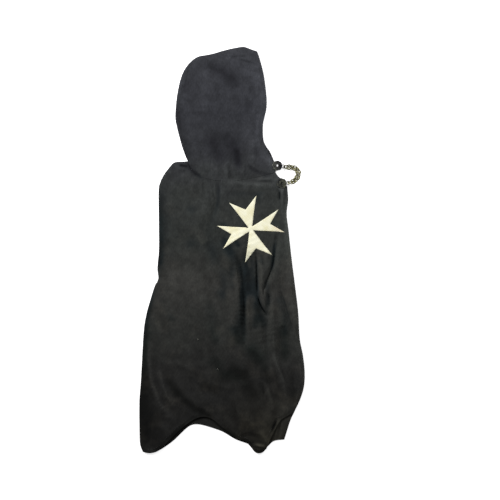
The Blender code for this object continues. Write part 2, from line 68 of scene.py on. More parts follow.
# turning points of every edge, in mm: forward of the nape, above the nape
edgePoints = {
    "back shoulder": ((-52, 4), (-44, 9), (-30, 11), (-12, 11), (4, 13)),
    "neck seam": ((4, 13), (6, -4), (20, -24), (49, -43), (97, -54), (151, -56), (206, -49), (255, -38),
        (298, -26)),
    "front shoulder": ((298, -26), (309, -41), (325, -52), (338, -75)),
    "back fold": ((-52, 4), (-66, -13), (-80, -32), (-93, -58), (-99, -92), (-98, -204), (-98, -289),
        (-103, -350), (-100, -388), (-112, -411), (-128, -462), (-141, -510), (-150, -571), (-159, -731),
        (-164, -800), (-164, -884), (-162, -945), (-153, -974)),
    "near front": ((338, -75), (341, -119), (336, -167), (343, -228), (352, -313), (364, -408),
        (375, -500), (380, -588), (391, -646), (397, -704), (394, -755), (379, -802), (359, -838),
        (328, -858), (313, -870), (287, -918), (267, -964)),
    "near hem": ((-153, -974), (-128, -979), (-97, -969), (-66, -938), (-20, -894), (22, -864),
        (54, -855), (85, -864), (117, -891), (148, -914), (172, -932), (196, -940), (212, -955),
        (230, -976), (250, -978), (267, -964)),
    "far front": ((338, -75), (341, -119), (334, -167), (341, -228), (350, -313), (362, -408),
        (372, -500), (378, -588), (389, -646), (395, -704), (393, -755), (380, -796), (365, -833),
        (349, -867), (337, -904), (328, -933)),
    "far hem": ((-153, -974), (-128, -979), (-100, -971), (-76, -957), (-49, -937), (-26, -915),
        (-5, -895), (12, -884), (32, -881), (66, -888), (117, -906), (162, -932), (209, -950),
        (230, -971), (250, -972), (271, -957), (293, -938), (328, -933)),
    "hood back": ((4, 13), (-2, 27), (-9, 40), (-15, 54), (-24, 79), (-34, 116), (-42, 156), (-41, 194),
        (-36, 238), (-27, 282), (-15, 316), (2, 342)),
    "hood crown": ((2, 342), (19, 358), (39, 369), (63, 373), (87, 378), (114, 386), (141, 393),
        (165, 398), (185, 401), (199, 399), (216, 392), (235, 386)),
    "near face": ((298, -26), (294, -4), (285, 22), (273, 44), (262, 65), (257, 85), (255, 112),
        (256, 139), (261, 163), (267, 190), (268, 224), (264, 265), (258, 306), (250, 340), (242, 367),
        (235, 386)),
    "far face": ((298, -26), (300, -12), (296, 4), (288, 25), (279, 45), (262, 70), (256, 90),
        (254, 112), (255, 143), (265, 187), (267, 224), (262, 265), (250, 337), (235, 386)),
}


def smoothLine(points, steps=24):
    # Catmull-Rom through the points
    pts = np.array(points, dtype=float)
    pts = np.vstack((2 * pts[0] - pts[1], pts, 2 * pts[-1] - pts[-2]))
    t = np.linspace(0, 1, steps, endpoint=False)[:, None]
    runs = []
    for a, b, c, d in zip(pts, pts[1:], pts[2:], pts[3:]):
        cubic = (3 * b - a - 3 * c + d) * t**3
        square = (2 * a - 5 * b + 4 * c - d) * t**2
        runs.append(0.5 * (2 * b + (c - a) * t + square + cubic))
    return np.vstack(runs + [pts[-2][None]])


def lengthShares(line):
    reach = np.concatenate(([0], np.cumsum(np.linalg.norm(np.diff(line, axis=0), axis=1))))
    return reach / reach[-1]


def alongLine(line, shares):
    reach = lengthShares(line)
    return np.stack([np.interp(shares, reach, values) for values in line.T], -1)


def edgeLine(name, steps=24):
    return nape + smoothLine(edgePoints[name], steps) * mm


def fillPatch(first, last, back, front, across, down):
    # blends four edge lines into a grid of plan points
    u = across[None, :, None]
    v = down[:, None, None]
    rows = (1 - u) * back[:, None] + u * front[:, None]
    columns = (1 - v) * first[None] + v * last[None]
    corners = (1 - v) * ((1 - u) * first[0] + u * first[-1])
    corners = corners + v * ((1 - u) * last[0] + u * last[-1])
    return rows + columns - corners


def distanceTo(line, points):
    flat = points.reshape(-1, 2)
    best = np.full(len(flat), np.inf)
    for start, end in zip(line[:-1], line[1:]):
        run = end - start
        share = np.clip(((flat - start) @ run) / max(run @ run, 1e-12), 0, 1)
        away = flat - start - share[:, None] * run
        best = np.minimum(best, (away * away).sum(-1))
    return np.sqrt(best).reshape(points.shape[:-1])


def eased(share):
    return share * share * (3 - 2 * share)


def bowLine(start, bend, end, t):
    return (1 - t)**2 * start + 2 * t * (1 - t) * bend + t**2 * end


def foldLift(points, folds, samples=28):
    # a fold is its name, its start, bend and end in mm from the nape, its lift in mm, and
    # its widths in mm to the left and right of its run
    flat = points.reshape(-1, 2)
    total = np.zeros(len(flat))
    t = np.linspace(0, 1, samples)[:, None]
    for name, *path, lift, left, right in folds:
        a, b, c = nape + np.reshape(path, (3, 2)) * mm
        curve = bowLine(a, b, c, t)
        reach = 3 * max(left, right) * mm
        close = ((flat > curve.min(0) - reach) & (flat < curve.max(0) + reach)).all(-1)
        if not close.any():
            continue
        away = flat[close][:, None] - curve
        gap = np.sqrt((away * away).sum(-1))
        nearest = gap.argmin(-1)
        offset = away[np.arange(len(away)), nearest]
        heading = np.gradient(curve, axis=0)[nearest]
        side = offset[:, 0] * heading[:, 1] - offset[:, 1] * heading[:, 0]
        width = np.where(side < 0, left, right) * mm
        share = nearest / (samples - 1)
        taper = eased(np.clip(np.minimum(share, 1 - share) / lay["taper"], 0, 1))
        total[close] += lift * mm * taper * np.exp(-(gap.min(-1) / width)**2)
    return total.reshape(points.shape[:-1])


def edgeRise(points, look):
    # lowest on a rolled edge, freeRise on a loose one, 1 away from them
    rise = np.ones(points.shape[:-1])
    for name, radius, lowest in look["rolled"]:
        ratio = np.clip(distanceTo(edgeLine(name, 8), points) / radius, 0, 1)
        rise = np.minimum(rise, lowest + (1 - lowest) * np.sqrt(1 - (1 - ratio)**2))
    for name in look["free"]:
        ratio = np.clip(distanceTo(edgeLine(name, 8), points) / lay["freeWidth"], 0, 1)
        rise = np.minimum(rise, lay["freeRise"] + (1 - lay["freeRise"]) * eased(ratio))
    return rise


def hemStep(points, look):
    # the doubled cloth of a hem stands a little proud of the single cloth
    step = np.zeros(points.shape[:-1])
    for name in look["hemmed"]:
        away = distanceTo(edgeLine(name, 8), points)
        share = np.clip((look["hemWidth"] + 2 * mm - away) / (4 * mm), 0, 1)
        step = np.maximum(step, look["hemThick"] * share)
    return step


def softWaves(points, seed, sizes):
    # low uneven waves that brushed cloth keeps when it is laid out by hand, each size
    # from a far part of the noise and half as long again down the cape as across it
    flat = points.reshape(-1, 2)
    total = np.zeros(len(flat))
    for span, depth in sizes:
        shift = Vector((seed * 3.1, seed * 1.7, span * 40))
        total += depth * np.array([
            noise.noise(Vector((x / span, y / (span * 1.5), 0)) + shift) for x, y in flat])
    return total.reshape(points.shape[:-1])


def lifted(lift, rise):
    smooth = 0.5 * (lift + np.sqrt(lift**2 + lay["softness"]**2))
    return nearEdge + rise * smooth


def linear(hexColour):
    # sRGB hex to the linear values that shaders take
    parts = [int(hexColour[i:i + 2], 16) / 255 for i in (1, 3, 5)]
    return tuple(p / 12.92 if p < 0.04045 else ((p + 0.055) / 1.055)**2.4 for p in parts) + (1.0,)


def setNode(node, settings=(), links=()):
    # a link from a whole node takes the first output that the node's settings leave on
    for key, value in dict(settings).items():
        if isinstance(key, str) and hasattr(node, key):
            setattr(node, key, value)
        else:
            node.inputs[key].default_value = value
    for key, source in dict(links).items():
        if isinstance(source, bpy.types.Node):
            source = next(output for output in source.outputs if output.enabled)
        node.id_data.links.new(source, node.inputs[key])
    return node


def addNode(tree, kind, settings=(), links=()):
    return setNode(tree.nodes.new("ShaderNode" + kind), settings, links)


def newMaterial(name):
    made = bpy.data.materials.new(name)
    made.use_nodes = True
    return made, made.node_tree, made.node_tree.nodes["Principled BSDF"]


# a wave texture at scale 1 has its bands this many mm apart
waveBand = 314.16

# Brushed cotton twill, dyed black: a dull cloth whose raised nap catches light as
# uneven grey patches. The colour is bluer on the hood and darker towards the hem, partly the
# dye and partly a painted fall-off of the light from the hood end, and warmer where it has
# rubbed. Nap and twill are drawn coarse, or the render would lose them.
# A value with From in its name is the two noise levels where an effect starts and is full.
clothLook = {
    # the cloth's colour down the cape: the dye with a painted fall-off of the light towards the hem
    "dyeAndShading": ((0.70, "#2e2f33"), (0.46, "#27282c"), (0.33, "#27282b"), (0.18, "#282a29"),
            (0.04, "#272927"), (-0.12, "#2c2c2a"), (-0.28, "#272826"), (-0.41, "#1f1f1e"),
            (-0.55, "#1c1c1b"), (-0.69, "#181817")),  # how far towards the hood, in metres
    # painted shade: the dark colours that deep troughs and shaded strokes go over to
    "paintedShadeColours": ((0.70, "#17171c"), (0.28, "#17171c"), (0.12, "#10191c"), (-0.16, "#0f191d"),
                (-0.32, "#111816"), (-0.44, "#0e0f0d"), (-0.69, "#0c0c0b")),
    "worn": "#34312b", "dust": "#8b8880", "ochre": "#3b3622",
    "noises": {  # size in mm, detail, roughness, distortion, squeeze down the cape, shift
        "wander": (125, 2, 0.5, 0, 1, (0, 0, 0)),
        "patches": (80, 3, 0.6, 0, 1, (0, 0, 0)),
        "mottle": (20, 4, 0.6, 0, 1, (0, 0, 0)),
        "nap": (4, 2, 0.5, 0, 0.4, (0, 0, 0)),
        "clouds": (46, 5, 0.65, 0.6, 0.7, (4, 2, 0)),
    },
    "wander": 0.10,  # how far the tones drift into each other, in metres
    "paintedShadeMix": 0.8,  # how far the deepest trough goes over to the painted shade colours
    "paintedRelief": (0.7, 1.3),  # painted shade in a trough and painted light on a ridge: how light the colour is there
    "wornFrom": (0.52, 0.75), "wornEnd": (0.34, 0.0), "patchDepth": 0.3,  # none on the hood
    "ochreEnd": (0.15, -0.64, 0.0), "ochreReach": 0.2, "ochreDepth": 0.45,
    "mottleDepth": 0.22, "napDepth": 0.13, "grainFrom": (0.3, 0.7),
    "cloudDepth": 0.28, "cloudFrom": (0.32, 0.68),
    "cloudAtHood": 0.5,  # how much of the clouds' stains the hood has
    "sides": (-0.28, 0.2), "paintedSideShade": 0.1,  # painted shade towards the back fold and painted light towards the front, evening out the stronger lamp on the back-fold side
    "dustFrom": (0.82, 0.86), "dustDepth": 0.3,
    "twill": 9.865, "twillTurn": math.radians(35),  # mm from rib to rib, and their slant
    "twillDepth": 0.3, "mottleRise": 1.5,  # how far they lift the cloth beside the nap's 1
    "roughness": 0.95, "sheen": 0.03, "bump": 0.35, "bumpDepth": 1.0 * mm,
}


def clothMaterial(name, look):
    made, tree, shader = newMaterial(name)
    place = addNode(tree, "TexCoord").outputs["Object"]
    split = addNode(tree, "SeparateXYZ", {}, {0: place})
    noises = {}
    for field, (size, detail, roughness, distortion, squeeze, shift) in look["noises"].items():
        moved = addNode(tree, "Mapping", {"Scale": (1, squeeze, 1), "Location": shift}, {0: place})
        noises[field] = addNode(tree, "TexNoise", {"Scale": 1000 / size, "Detail": detail,
                                                   "Roughness": roughness, "Distortion": distortion},
                                {"Vector": moved})
    drift = addNode(tree, "Math", {"operation": "MULTIPLY_ADD", 1: 2 * look["wander"],
                                   2: -look["wander"]}, {0: noises["wander"]})
    level = addNode(tree, "Math", {"operation": "ADD"}, {0: split.outputs["Y"], 1: drift})
    top, bottom = look["dyeAndShading"][0][0], look["dyeAndShading"][-1][0]
    share = addNode(tree, "MapRange", {1: top, 2: bottom}, {0: level})
    # painted shading that each vertex carries: painted shade below 0, painted light above 0
    tone = addNode(tree, "Attribute", {"attribute_name": "paintedShading"}).outputs["Fac"]
    paintedShadeMix = addNode(tree, "MapRange", {1: 0.0, 2: -1.0, 4: look["paintedShadeMix"]}, {0: tone})
    base = addNode(tree, "Mix", {"data_type": "RGBA"}, {0: paintedShadeMix})
    for socket, colours in ((6, look["dyeAndShading"]), (7, look["paintedShadeColours"])):
        ramp = addNode(tree, "ValToRGB", {}, {0: share})
        stops = ramp.color_ramp.elements
        for index, (where, colour) in enumerate(colours):
            position = (where - top) / (bottom - top)
            stop = stops[index] if index < 2 else stops.new(position)
            stop.position = position
            stop.color = linear(colour)
        setNode(base, {}, {socket: ramp})

    low, high = look["wornFrom"]
    wear = addNode(tree, "MapRange", {1: low, 2: high, 4: look["patchDepth"]},
                   {0: noises["patches"]})
    fade = addNode(tree, "MapRange", {1: look["wornEnd"][0], 2: look["wornEnd"][1]}, {0: level})
    faded = addNode(tree, "Math", {"operation": "MULTIPLY"}, {0: wear, 1: fade})
    away = addNode(tree, "VectorMath", {"operation": "DISTANCE", 1: look["ochreEnd"]}, {0: place})
    yellowed = addNode(tree, "MapRange", {1: look["ochreReach"], 2: 0.0, 4: look["ochreDepth"]},
                       {0: away})
    for blend, amount, colour in (("MIX", faded, "worn"), ("COLOR", yellowed, "ochre")):
        base = addNode(tree, "Mix", {"data_type": "RGBA", "blend_type": blend,
                                     7: linear(look[colour])}, {0: amount, 6: base})

    # painted light on ridges and painted shade in troughs and along the strokes
    paintedRelief = addNode(tree, "MapRange", {"clamp": False, 1: -1.0, 2: 1.0, 3: look["paintedRelief"][0],
                                     4: look["paintedRelief"][1]}, {0: tone})
    low, high = look["cloudFrom"]
    cloud = addNode(tree, "MapRange", {1: low, 2: high, 3: -look["cloudDepth"],
                                       4: look["cloudDepth"]}, {0: noises["clouds"]})
    clouded = addNode(tree, "MapRange", {3: look["cloudAtHood"]}, {0: share})
    strength = addNode(tree, "Math", {"operation": "MULTIPLY_ADD"}, {0: cloud, 1: clouded, 2: paintedRelief})
    # random mottle and nap, and the painted side shade across the cape
    for (low, high), depth, source in ((look["grainFrom"], look["mottleDepth"], noises["mottle"]),
                                       (look["grainFrom"], look["napDepth"], noises["nap"]),
                                       (look["sides"], look["paintedSideShade"], split.outputs["X"])):
        factor = addNode(tree, "MapRange", {1: low, 2: high, 3: 1 - depth, 4: 1 + depth},
                         {0: source})
        strength = addNode(tree, "Math", {"operation": "MULTIPLY"}, {0: strength, 1: factor})
    base = addNode(tree, "Mix", {"data_type": "RGBA", "blend_type": "MULTIPLY", 0: 1.0},
                   {6: base, 7: strength})
    low, high = look["dustFrom"]
    speck = addNode(tree, "MapRange", {1: low, 2: high, 4: look["dustDepth"]}, {0: noises["nap"]})
    base = addNode(tree, "Mix", {"data_type": "RGBA", 7: linear(look["dust"])},
                   {0: speck, 6: base})

    turned = addNode(tree, "Mapping", {"Rotation": (0, 0, look["twillTurn"])}, {0: place})
    twill = addNode(tree, "TexWave", {"Scale": waveBand / look["twill"], "Distortion": 1.2,
                                      "Detail": 2.0}, {0: turned}).outputs["Fac"]
    ribs = addNode(tree, "Math", {"operation": "MULTIPLY_ADD", 1: look["twillDepth"]},
                   {0: twill, 2: noises["nap"]})
    height = addNode(tree, "Math", {"operation": "MULTIPLY_ADD", 1: look["mottleRise"]},
                     {0: noises["mottle"], 2: ribs})
    bump = addNode(tree, "Bump", {"Strength": look["bump"], "Distance": look["bumpDepth"]},
                   {"Height": height})
    setNode(shader, {"Roughness": look["roughness"], "Sheen Weight": look["sheen"],
                     "Sheen Roughness": 0.5, "Specular IOR Level": 0.12},
            {"Base Color": base, "Normal": bump})
    return made


# Cream cotton twill of the cross: matt, off-white, a shade yellower in patches, with a
# painted shadow, tan, at the tip of one arm
creamCloth = {
    "light": "#e6e4cc", "dark": "#dad5b2", "patch": 24, "patchFrom": (0.35, 0.65),
    # painted shadow at the tip of one arm: its colour, its middle and its reach in metres
    "blotch": "#cdb192", "paintedShadowPlace": (0.1995, 0.092, 0.013), "paintedShadowReach": 0.042,
    "thread": 4.735, "threadTurn": math.radians(59), "between": 0.9,  # dye between threads
    "roughness": 0.9, "sheen": 0.1, "bump": 0.3, "bumpDepth": 0.3 * mm,
}


def creamMaterial(name, look):
    made, tree, shader = newMaterial(name)
    place = addNode(tree, "TexCoord").outputs["Object"]
    patches = addNode(tree, "TexNoise", {"Scale": 1000 / look["patch"], "Detail": 4.0}, {0: place})
    low, high = look["patchFrom"]
    tone = addNode(tree, "MapRange", {1: low, 2: high}, {0: patches})
    clean = addNode(tree, "Mix", {"data_type": "RGBA", 6: linear(look["light"]),
                                  7: linear(look["dark"])}, {0: tone})
    # painted shadow: tan, fading out from its middle
    away = addNode(tree, "VectorMath", {"operation": "DISTANCE", 1: look["paintedShadowPlace"]}, {0: place})
    paintedShadowMask = addNode(tree, "MapRange", {"interpolation_type": "SMOOTHSTEP",
                                       1: look["paintedShadowReach"], 2: 0.0}, {0: away})
    base = addNode(tree, "Mix", {"data_type": "RGBA", 7: linear(look["blotch"])},
                   {0: paintedShadowMask, 6: clean})
    turned = addNode(tree, "Mapping", {"Rotation": (0, 0, look["threadTurn"])}, {0: place})
    threads = addNode(tree, "TexWave", {"Scale": waveBand / look["thread"], "Distortion": 0.6},
                      {0: turned}).outputs["Fac"]
    shade = addNode(tree, "MapRange", {3: look["between"], 4: 1.0}, {0: threads})
    woven = addNode(tree, "Mix", {"data_type": "RGBA", "blend_type": "MULTIPLY", 0: 1.0},
                    {6: base, 7: shade})
    bump = addNode(tree, "Bump", {"Strength": look["bump"], "Distance": look["bumpDepth"]},
                   {"Height": threads})
    setNode(shader, {"Roughness": look["roughness"], "Sheen Weight": look["sheen"]},
            {"Base Color": woven, "Normal": bump})
    return made


# Brass with a dark patina. The upper medallion's is nearly black, the lower one's olive,
# and the wire's is thin, so that the chain is the one that shines. Each medallion has a painted
# highlight on one side, given from its dark side to its bright side as places across the cape in metres
metals = {
    "blackenedCastBrass": {"high": "#5e5f5a", "low": "#26262a", "roughness": 0.5, "grit": 9.0,
                           "paintedLight": (0.196, 0.174), "paintedShadingDepth": 0.55},
    "oxidisedCastBrass": {"high": "#5a5b50", "low": "#333435", "roughness": 0.5, "grit": 9.0,
                          "paintedLight": (0.194, 0.213), "paintedShadingDepth": 0.3},
    "antiqueBrassWire": {"high": "#8f8c68", "low": "#34331f", "roughness": 0.36, "grit": 3.0,
                         "paintedLight": (0.2, 0.26), "paintedShadingDepth": 0.0},
}


def metalMaterial(name, look):
    # bright and smoother where the patina is rubbed thin at random, dark where it stays, and
    # lighter towards one side by a painted highlight
    made, tree, shader = newMaterial(name)
    place = addNode(tree, "TexCoord").outputs["Object"]
    split = addNode(tree, "SeparateXYZ", {}, {0: place})
    # painted highlight: lighter towards one side of the medallion
    paintedLight = addNode(tree, "MapRange", {1: look["paintedLight"][0], 2: look["paintedLight"][1],
                                        3: -look["paintedShadingDepth"], 4: look["paintedShadingDepth"]},
                     {0: split.outputs["X"]})
    blotch = addNode(tree, "TexNoise", {"Scale": 1000 / look["grit"], "Detail": 4.0}, {0: place})
    patina = addNode(tree, "MapRange", {1: 0.38, 2: 0.62}, {0: blotch})
    tone = addNode(tree, "Math", {"operation": "ADD", "use_clamp": True}, {0: patina, 1: paintedLight})
    base = addNode(tree, "Mix", {"data_type": "RGBA", 6: linear(look["low"]),
                                 7: linear(look["high"])}, {0: tone})
    polish = addNode(tree, "MapRange", {3: look["roughness"] + 0.15, 4: look["roughness"]},
                     {0: blotch})
    bump = addNode(tree, "Bump", {"Strength": 0.25, "Distance": 0.15 * mm}, {"Height": blotch})
    setNode(shader, {"Metallic": 1.0}, {"Base Color": base, "Roughness": polish, "Normal": bump})
    return made


# Spun polyester sewing thread and cotton lint: a fine twist with a faint shine
threadColours = {"blackSewingThread": "#2e2e30", "creamSewingThread": "#d9d4b5",
                 "paleCottonLint": "#a5a39a"}


def threadMaterial(name, colour):
    made, tree, shader = newMaterial(name)
    place = addNode(tree, "TexCoord").outputs["Object"]
    twist = addNode(tree, "TexWave", {"Scale": 300.0, "Distortion": 2.0}, {0: place})
    shade = addNode(tree, "MapRange", {3: 0.75, 4: 1.1}, {0: twist.outputs["Fac"]})
    base = addNode(tree, "Mix", {"data_type": "RGBA", "blend_type": "MULTIPLY", 0: 1.0,
                                 6: linear(colour)}, {7: shade})
    setNode(shader, {"Roughness": 0.6}, {"Base Color": base})
    return made


bodyCloth = clothMaterial("blackCottonTwillBody", clothLook)
hoodCloth = clothMaterial("blackCottonTwillHood", clothLook)
cream = creamMaterial("creamCottonTwill", creamCloth)
brasses = {name: metalMaterial(name, look) for name, look in metals.items()}
threads = {name: threadMaterial(name, colour) for name, colour in threadColours.items()}
print("materials ready")


def asMesh(bm, name):
    mesh = bpy.data.meshes.new(name)
    bm.to_mesh(mesh)
    bm.free()
    return mesh


def addObject(name, data):
    made = bpy.data.objects.new(name, data)
    bpy.context.scene.collection.objects.link(made)
    return made


def addPiece(name, bm, material, replaced=()):
    mesh = asMesh(bm, name)
    mesh.materials.append(material)
    mesh.shade_smooth()
    piece = addObject(name, mesh)
    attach(piece, "root")
    if replaced:
        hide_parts(*replaced)
    return piece


def gridShares(bands):
    shares = [0.0]
    for start, end, count in bands:
        shares += list(np.linspace(start, end, count + 1)[1:])
    return np.array(shares)


def growDown(bm, place, under):
    # closes a sheet into a wall: each vertex's copy goes to the point that under has for it
    grown = bmesh.ops.extrude_face_region(bm, geom=bm.faces[:], use_keep_orig=True)
    lower = {item for item in grown["geom"] if isinstance(item, bmesh.types.BMVert)}
    for vert in lower:
        vert.co = under[vert[place]]
    bmesh.ops.recalc_face_normals(bm, faces=bm.faces[:])
    return lower


def clothShell(outer, inner, rim, shadingTones=None):
    # a grid laid over the outer points, grown down to the inner ones, rim rounded
    # except where it is sewn
    rows, columns = outer.shape[:2]
    bm = bmesh.new()
    bmesh.ops.create_grid(bm, x_segments=columns - 1, y_segments=rows - 1, size=0.5)
    # each vertex carries its painted shading
    dyeAndShading = bm.verts.layers.float.new("paintedShading")
    place = bm.verts.layers.int.new("place")
    top = outer.reshape(-1, 3)
    for vert in bm.verts:
        i = round((vert.co.x + 0.5) * (columns - 1))
        j = round((vert.co.y + 0.5) * (rows - 1))
        vert[place] = j * columns + i
        vert[dyeAndShading] = 0 if shadingTones is None else shadingTones.flat[vert[place]]
        vert.co = top[vert[place]]
    low = growDown(bm, place, inner.reshape(-1, 3))
    ridge = [edge for edge in bm.edges
             if any(len(set(face.verts) & low) == 2 for face in edge.link_faces)
             and any(not set(face.verts) & low for face in edge.link_faces)]
    middles = np.array([(edge.verts[0].co.xy + edge.verts[1].co.xy) / 2 for edge in ridge])
    away = distanceTo(edgeLine("neck seam"), middles)
    ridge = [edge for edge, gap in zip(ridge, away) if gap > 0.5 * mm]
    bmesh.ops.bevel(bm, geom=ridge, offset=rim, affect="EDGES", segments=2, profile=0.5,
                    material=-1, clamp_overlap=True)
    bm.verts.layers.int.remove(bm.verts.layers.int["place"])
    return bm


def nearWall(plan, heightOf):
    step = 1.0 * mm
    outer = heightOf(plan)
    slopeX = (heightOf(plan + np.array((step, 0))) - outer) / step
    slopeY = (heightOf(plan + np.array((0, step))) - outer) / step
    steep = np.sqrt(1 + slopeX**2 + slopeY**2)
    inner = np.maximum(outer - lay["wall"] * np.minimum(steep, lay["steepest"]), nearUnder)
    return outer, inner


# The near half of the body, on top: the folds as the solid has them, and finer ones
bodyNear = {
    "columns": (  # edge line, start, end, hem start, hem end, how many
        ("back shoulder", 0.00, 0.20, 0.000, 0.045, 5),
        ("back shoulder", 0.20, 1.00, 0.045, 0.190, 15),
        ("neck seam", 0.00, 0.03, 0.190, 0.215, 4),
        ("neck seam", 0.03, 0.37, 0.215, 0.550, 26),
        ("neck seam", 0.37, 0.98, 0.550, 0.850, 104),
        ("neck seam", 0.98, 1.00, 0.850, 0.860, 3),
        ("front shoulder", 0.00, 0.92, 0.860, 0.985, 28),
        ("front shoulder", 0.92, 1.00, 0.985, 1.000, 4),
    ),
    "rows": ((0.0, 0.016, 6), (0.016, 0.1, 24), (0.1, 0.86, 170), (0.86, 0.985, 38),
             (0.985, 1.0, 5)),
    "rolled": (("back fold", lay["foldRadius"], 0.0), ("back shoulder", lay["foldRadius"], 0.0),
               ("neck seam", 3 * mm, 0.97)),
    "free": ("front shoulder", "near front", "near hem"),
    "hemmed": ("near front", "near hem"), "hemWidth": 14 * mm, "hemThick": 0.7 * mm,
    "waves": ((90 * mm, 1.1 * mm), (34 * mm, 0.7 * mm), (14 * mm, 0.25 * mm)), "seed": 1.0,
    "flat": (0.6, 1.01), "area": 0.472,
}
bodyNear["folds"] = (
    ("front swell", 150, -190, 240, -400, 290, -640, 8.5, 75, 66),
    ("ridge before long trough", 142, -262, 184, -380, 180, -570, 7.5, 8, 26),
    ("long trough", 166, -278, 190, -400, 192, -645, -8, 14, 8),
    ("middle valley", 206, -272, 210, -365, 214, -474, -10, 19, 20),
    ("valley ridge", 202, -424, 206, -490, 200, -580, 4.5, 8, 5),
    ("second trough", 231, -270, 238, -385, 237, -455, -7, 4, 7),
    ("second trough hook", 236, -436, 242, -480, 282, -522, -7, 5, 5),
    ("narrow ridge", 248, -270, 250, -400, 264, -505, 7, 10, 7),
    ("cloth before lap", 276, -262, 270, -330, 256, -396, 4, 13, 10),
    ("lapped crease", 303, -222, 298, -300, 282, -366, -8.5, 6, 5),
    ("lapped crease hook", 287, -340, 258, -388, 256, -446, -8, 6, 5),
    ("lap beside crease", 318, -235, 306, -340, 278, -430, 7, 24, 9),
    ("short trough", 272, -430, 278, -458, 274, -495, -5.5, 8, 8),
    ("front ridge", 286, -440, 288, -560, 300, -668, 7.5, 10, 12),
    ("slanting crease", 311, -416, 339, -494, 362, -584, -7.5, 5, 9),
    ("broad lower valley", 322, -530, 326, -600, 330, -690, -7.5, 15, 15),
    ("lower ridge", 284, -635, 318, -700, 344, -815, 8, 8, 10),
    ("lower front valley", 350, -692, 362, -752, 356, -835, -6.5, 10, 9),
    ("front edge swell", 330, -255, 356, -391, 376, -600, 4.5, 16, 16),
    ("lower front swell", 376, -600, 386, -690, 372, -790, 5.5, 18, 14),
    ("hollow above hem", 130, -702, 178, -711, 222, -726, -5, 16, 16),
    ("ridge above tip", 256, -727, 286, -800, 290, -866, 6.5, 14, 12),
    ("hollow beside ridge", 250, -735, 254, -760, 262, -795, -6, 7, 9),
    ("line below hollow", 150, -786, 160, -842, 186, -900, -4.5, 6, 8),
    ("back corner ridge", -124, -570, -147, -740, -60, -862, 5, 9, 10),
    ("back corner trough", -104, -640, -106, -735, -74, -805, -1.5, 7, 7),
    ("second corner ridge", -96, -660, -98, -764, -36, -826, 4, 9, 8),
    ("corner arc trough", -68, -715, -58, -765, -18, -802, -5, 9, 9),
    ("trough over hem arch", -22, -798, 22, -832, 72, -848, -5, 11, 11),
    ("cross ridge", -88, -672, -26, -664, 46, -716, 3.5, 8, 12),
    ("swell over hem arch", 20, -770, 95, -800, 172, -886, 5, 22, 20),
    ("hem tip trough", 174, -930, 212, -896, 266, -940, -5.5, 5, 6),
    ("hem tip fold", 214, -948, 242, -950, 268, -958, 5.5, 5, 6),
    ("neck pleat", 98, -46, 116, -110, 72, -222, -5, 8, 9),
    ("neck pleat ridge", 76, -50, 80, -120, 44, -205, 4.5, 16, 12),
    ("collar ridge", 126, -60, 204, -68, 290, -70, 5.5, 9, 10),
    ("collar hollow", 122, -94, 196, -100, 282, -92, -2.5, 9, 12),
    ("front slit", 331, -80, 333, -115, 331, -150, -3.5, 6, 6),
    ("back notch", -112, -378, -92, -388, -56, -384, -3, 10, 10),
    ("back dimple", -70, -524, -54, -532, -36, -540, -2, 10, 10),
)
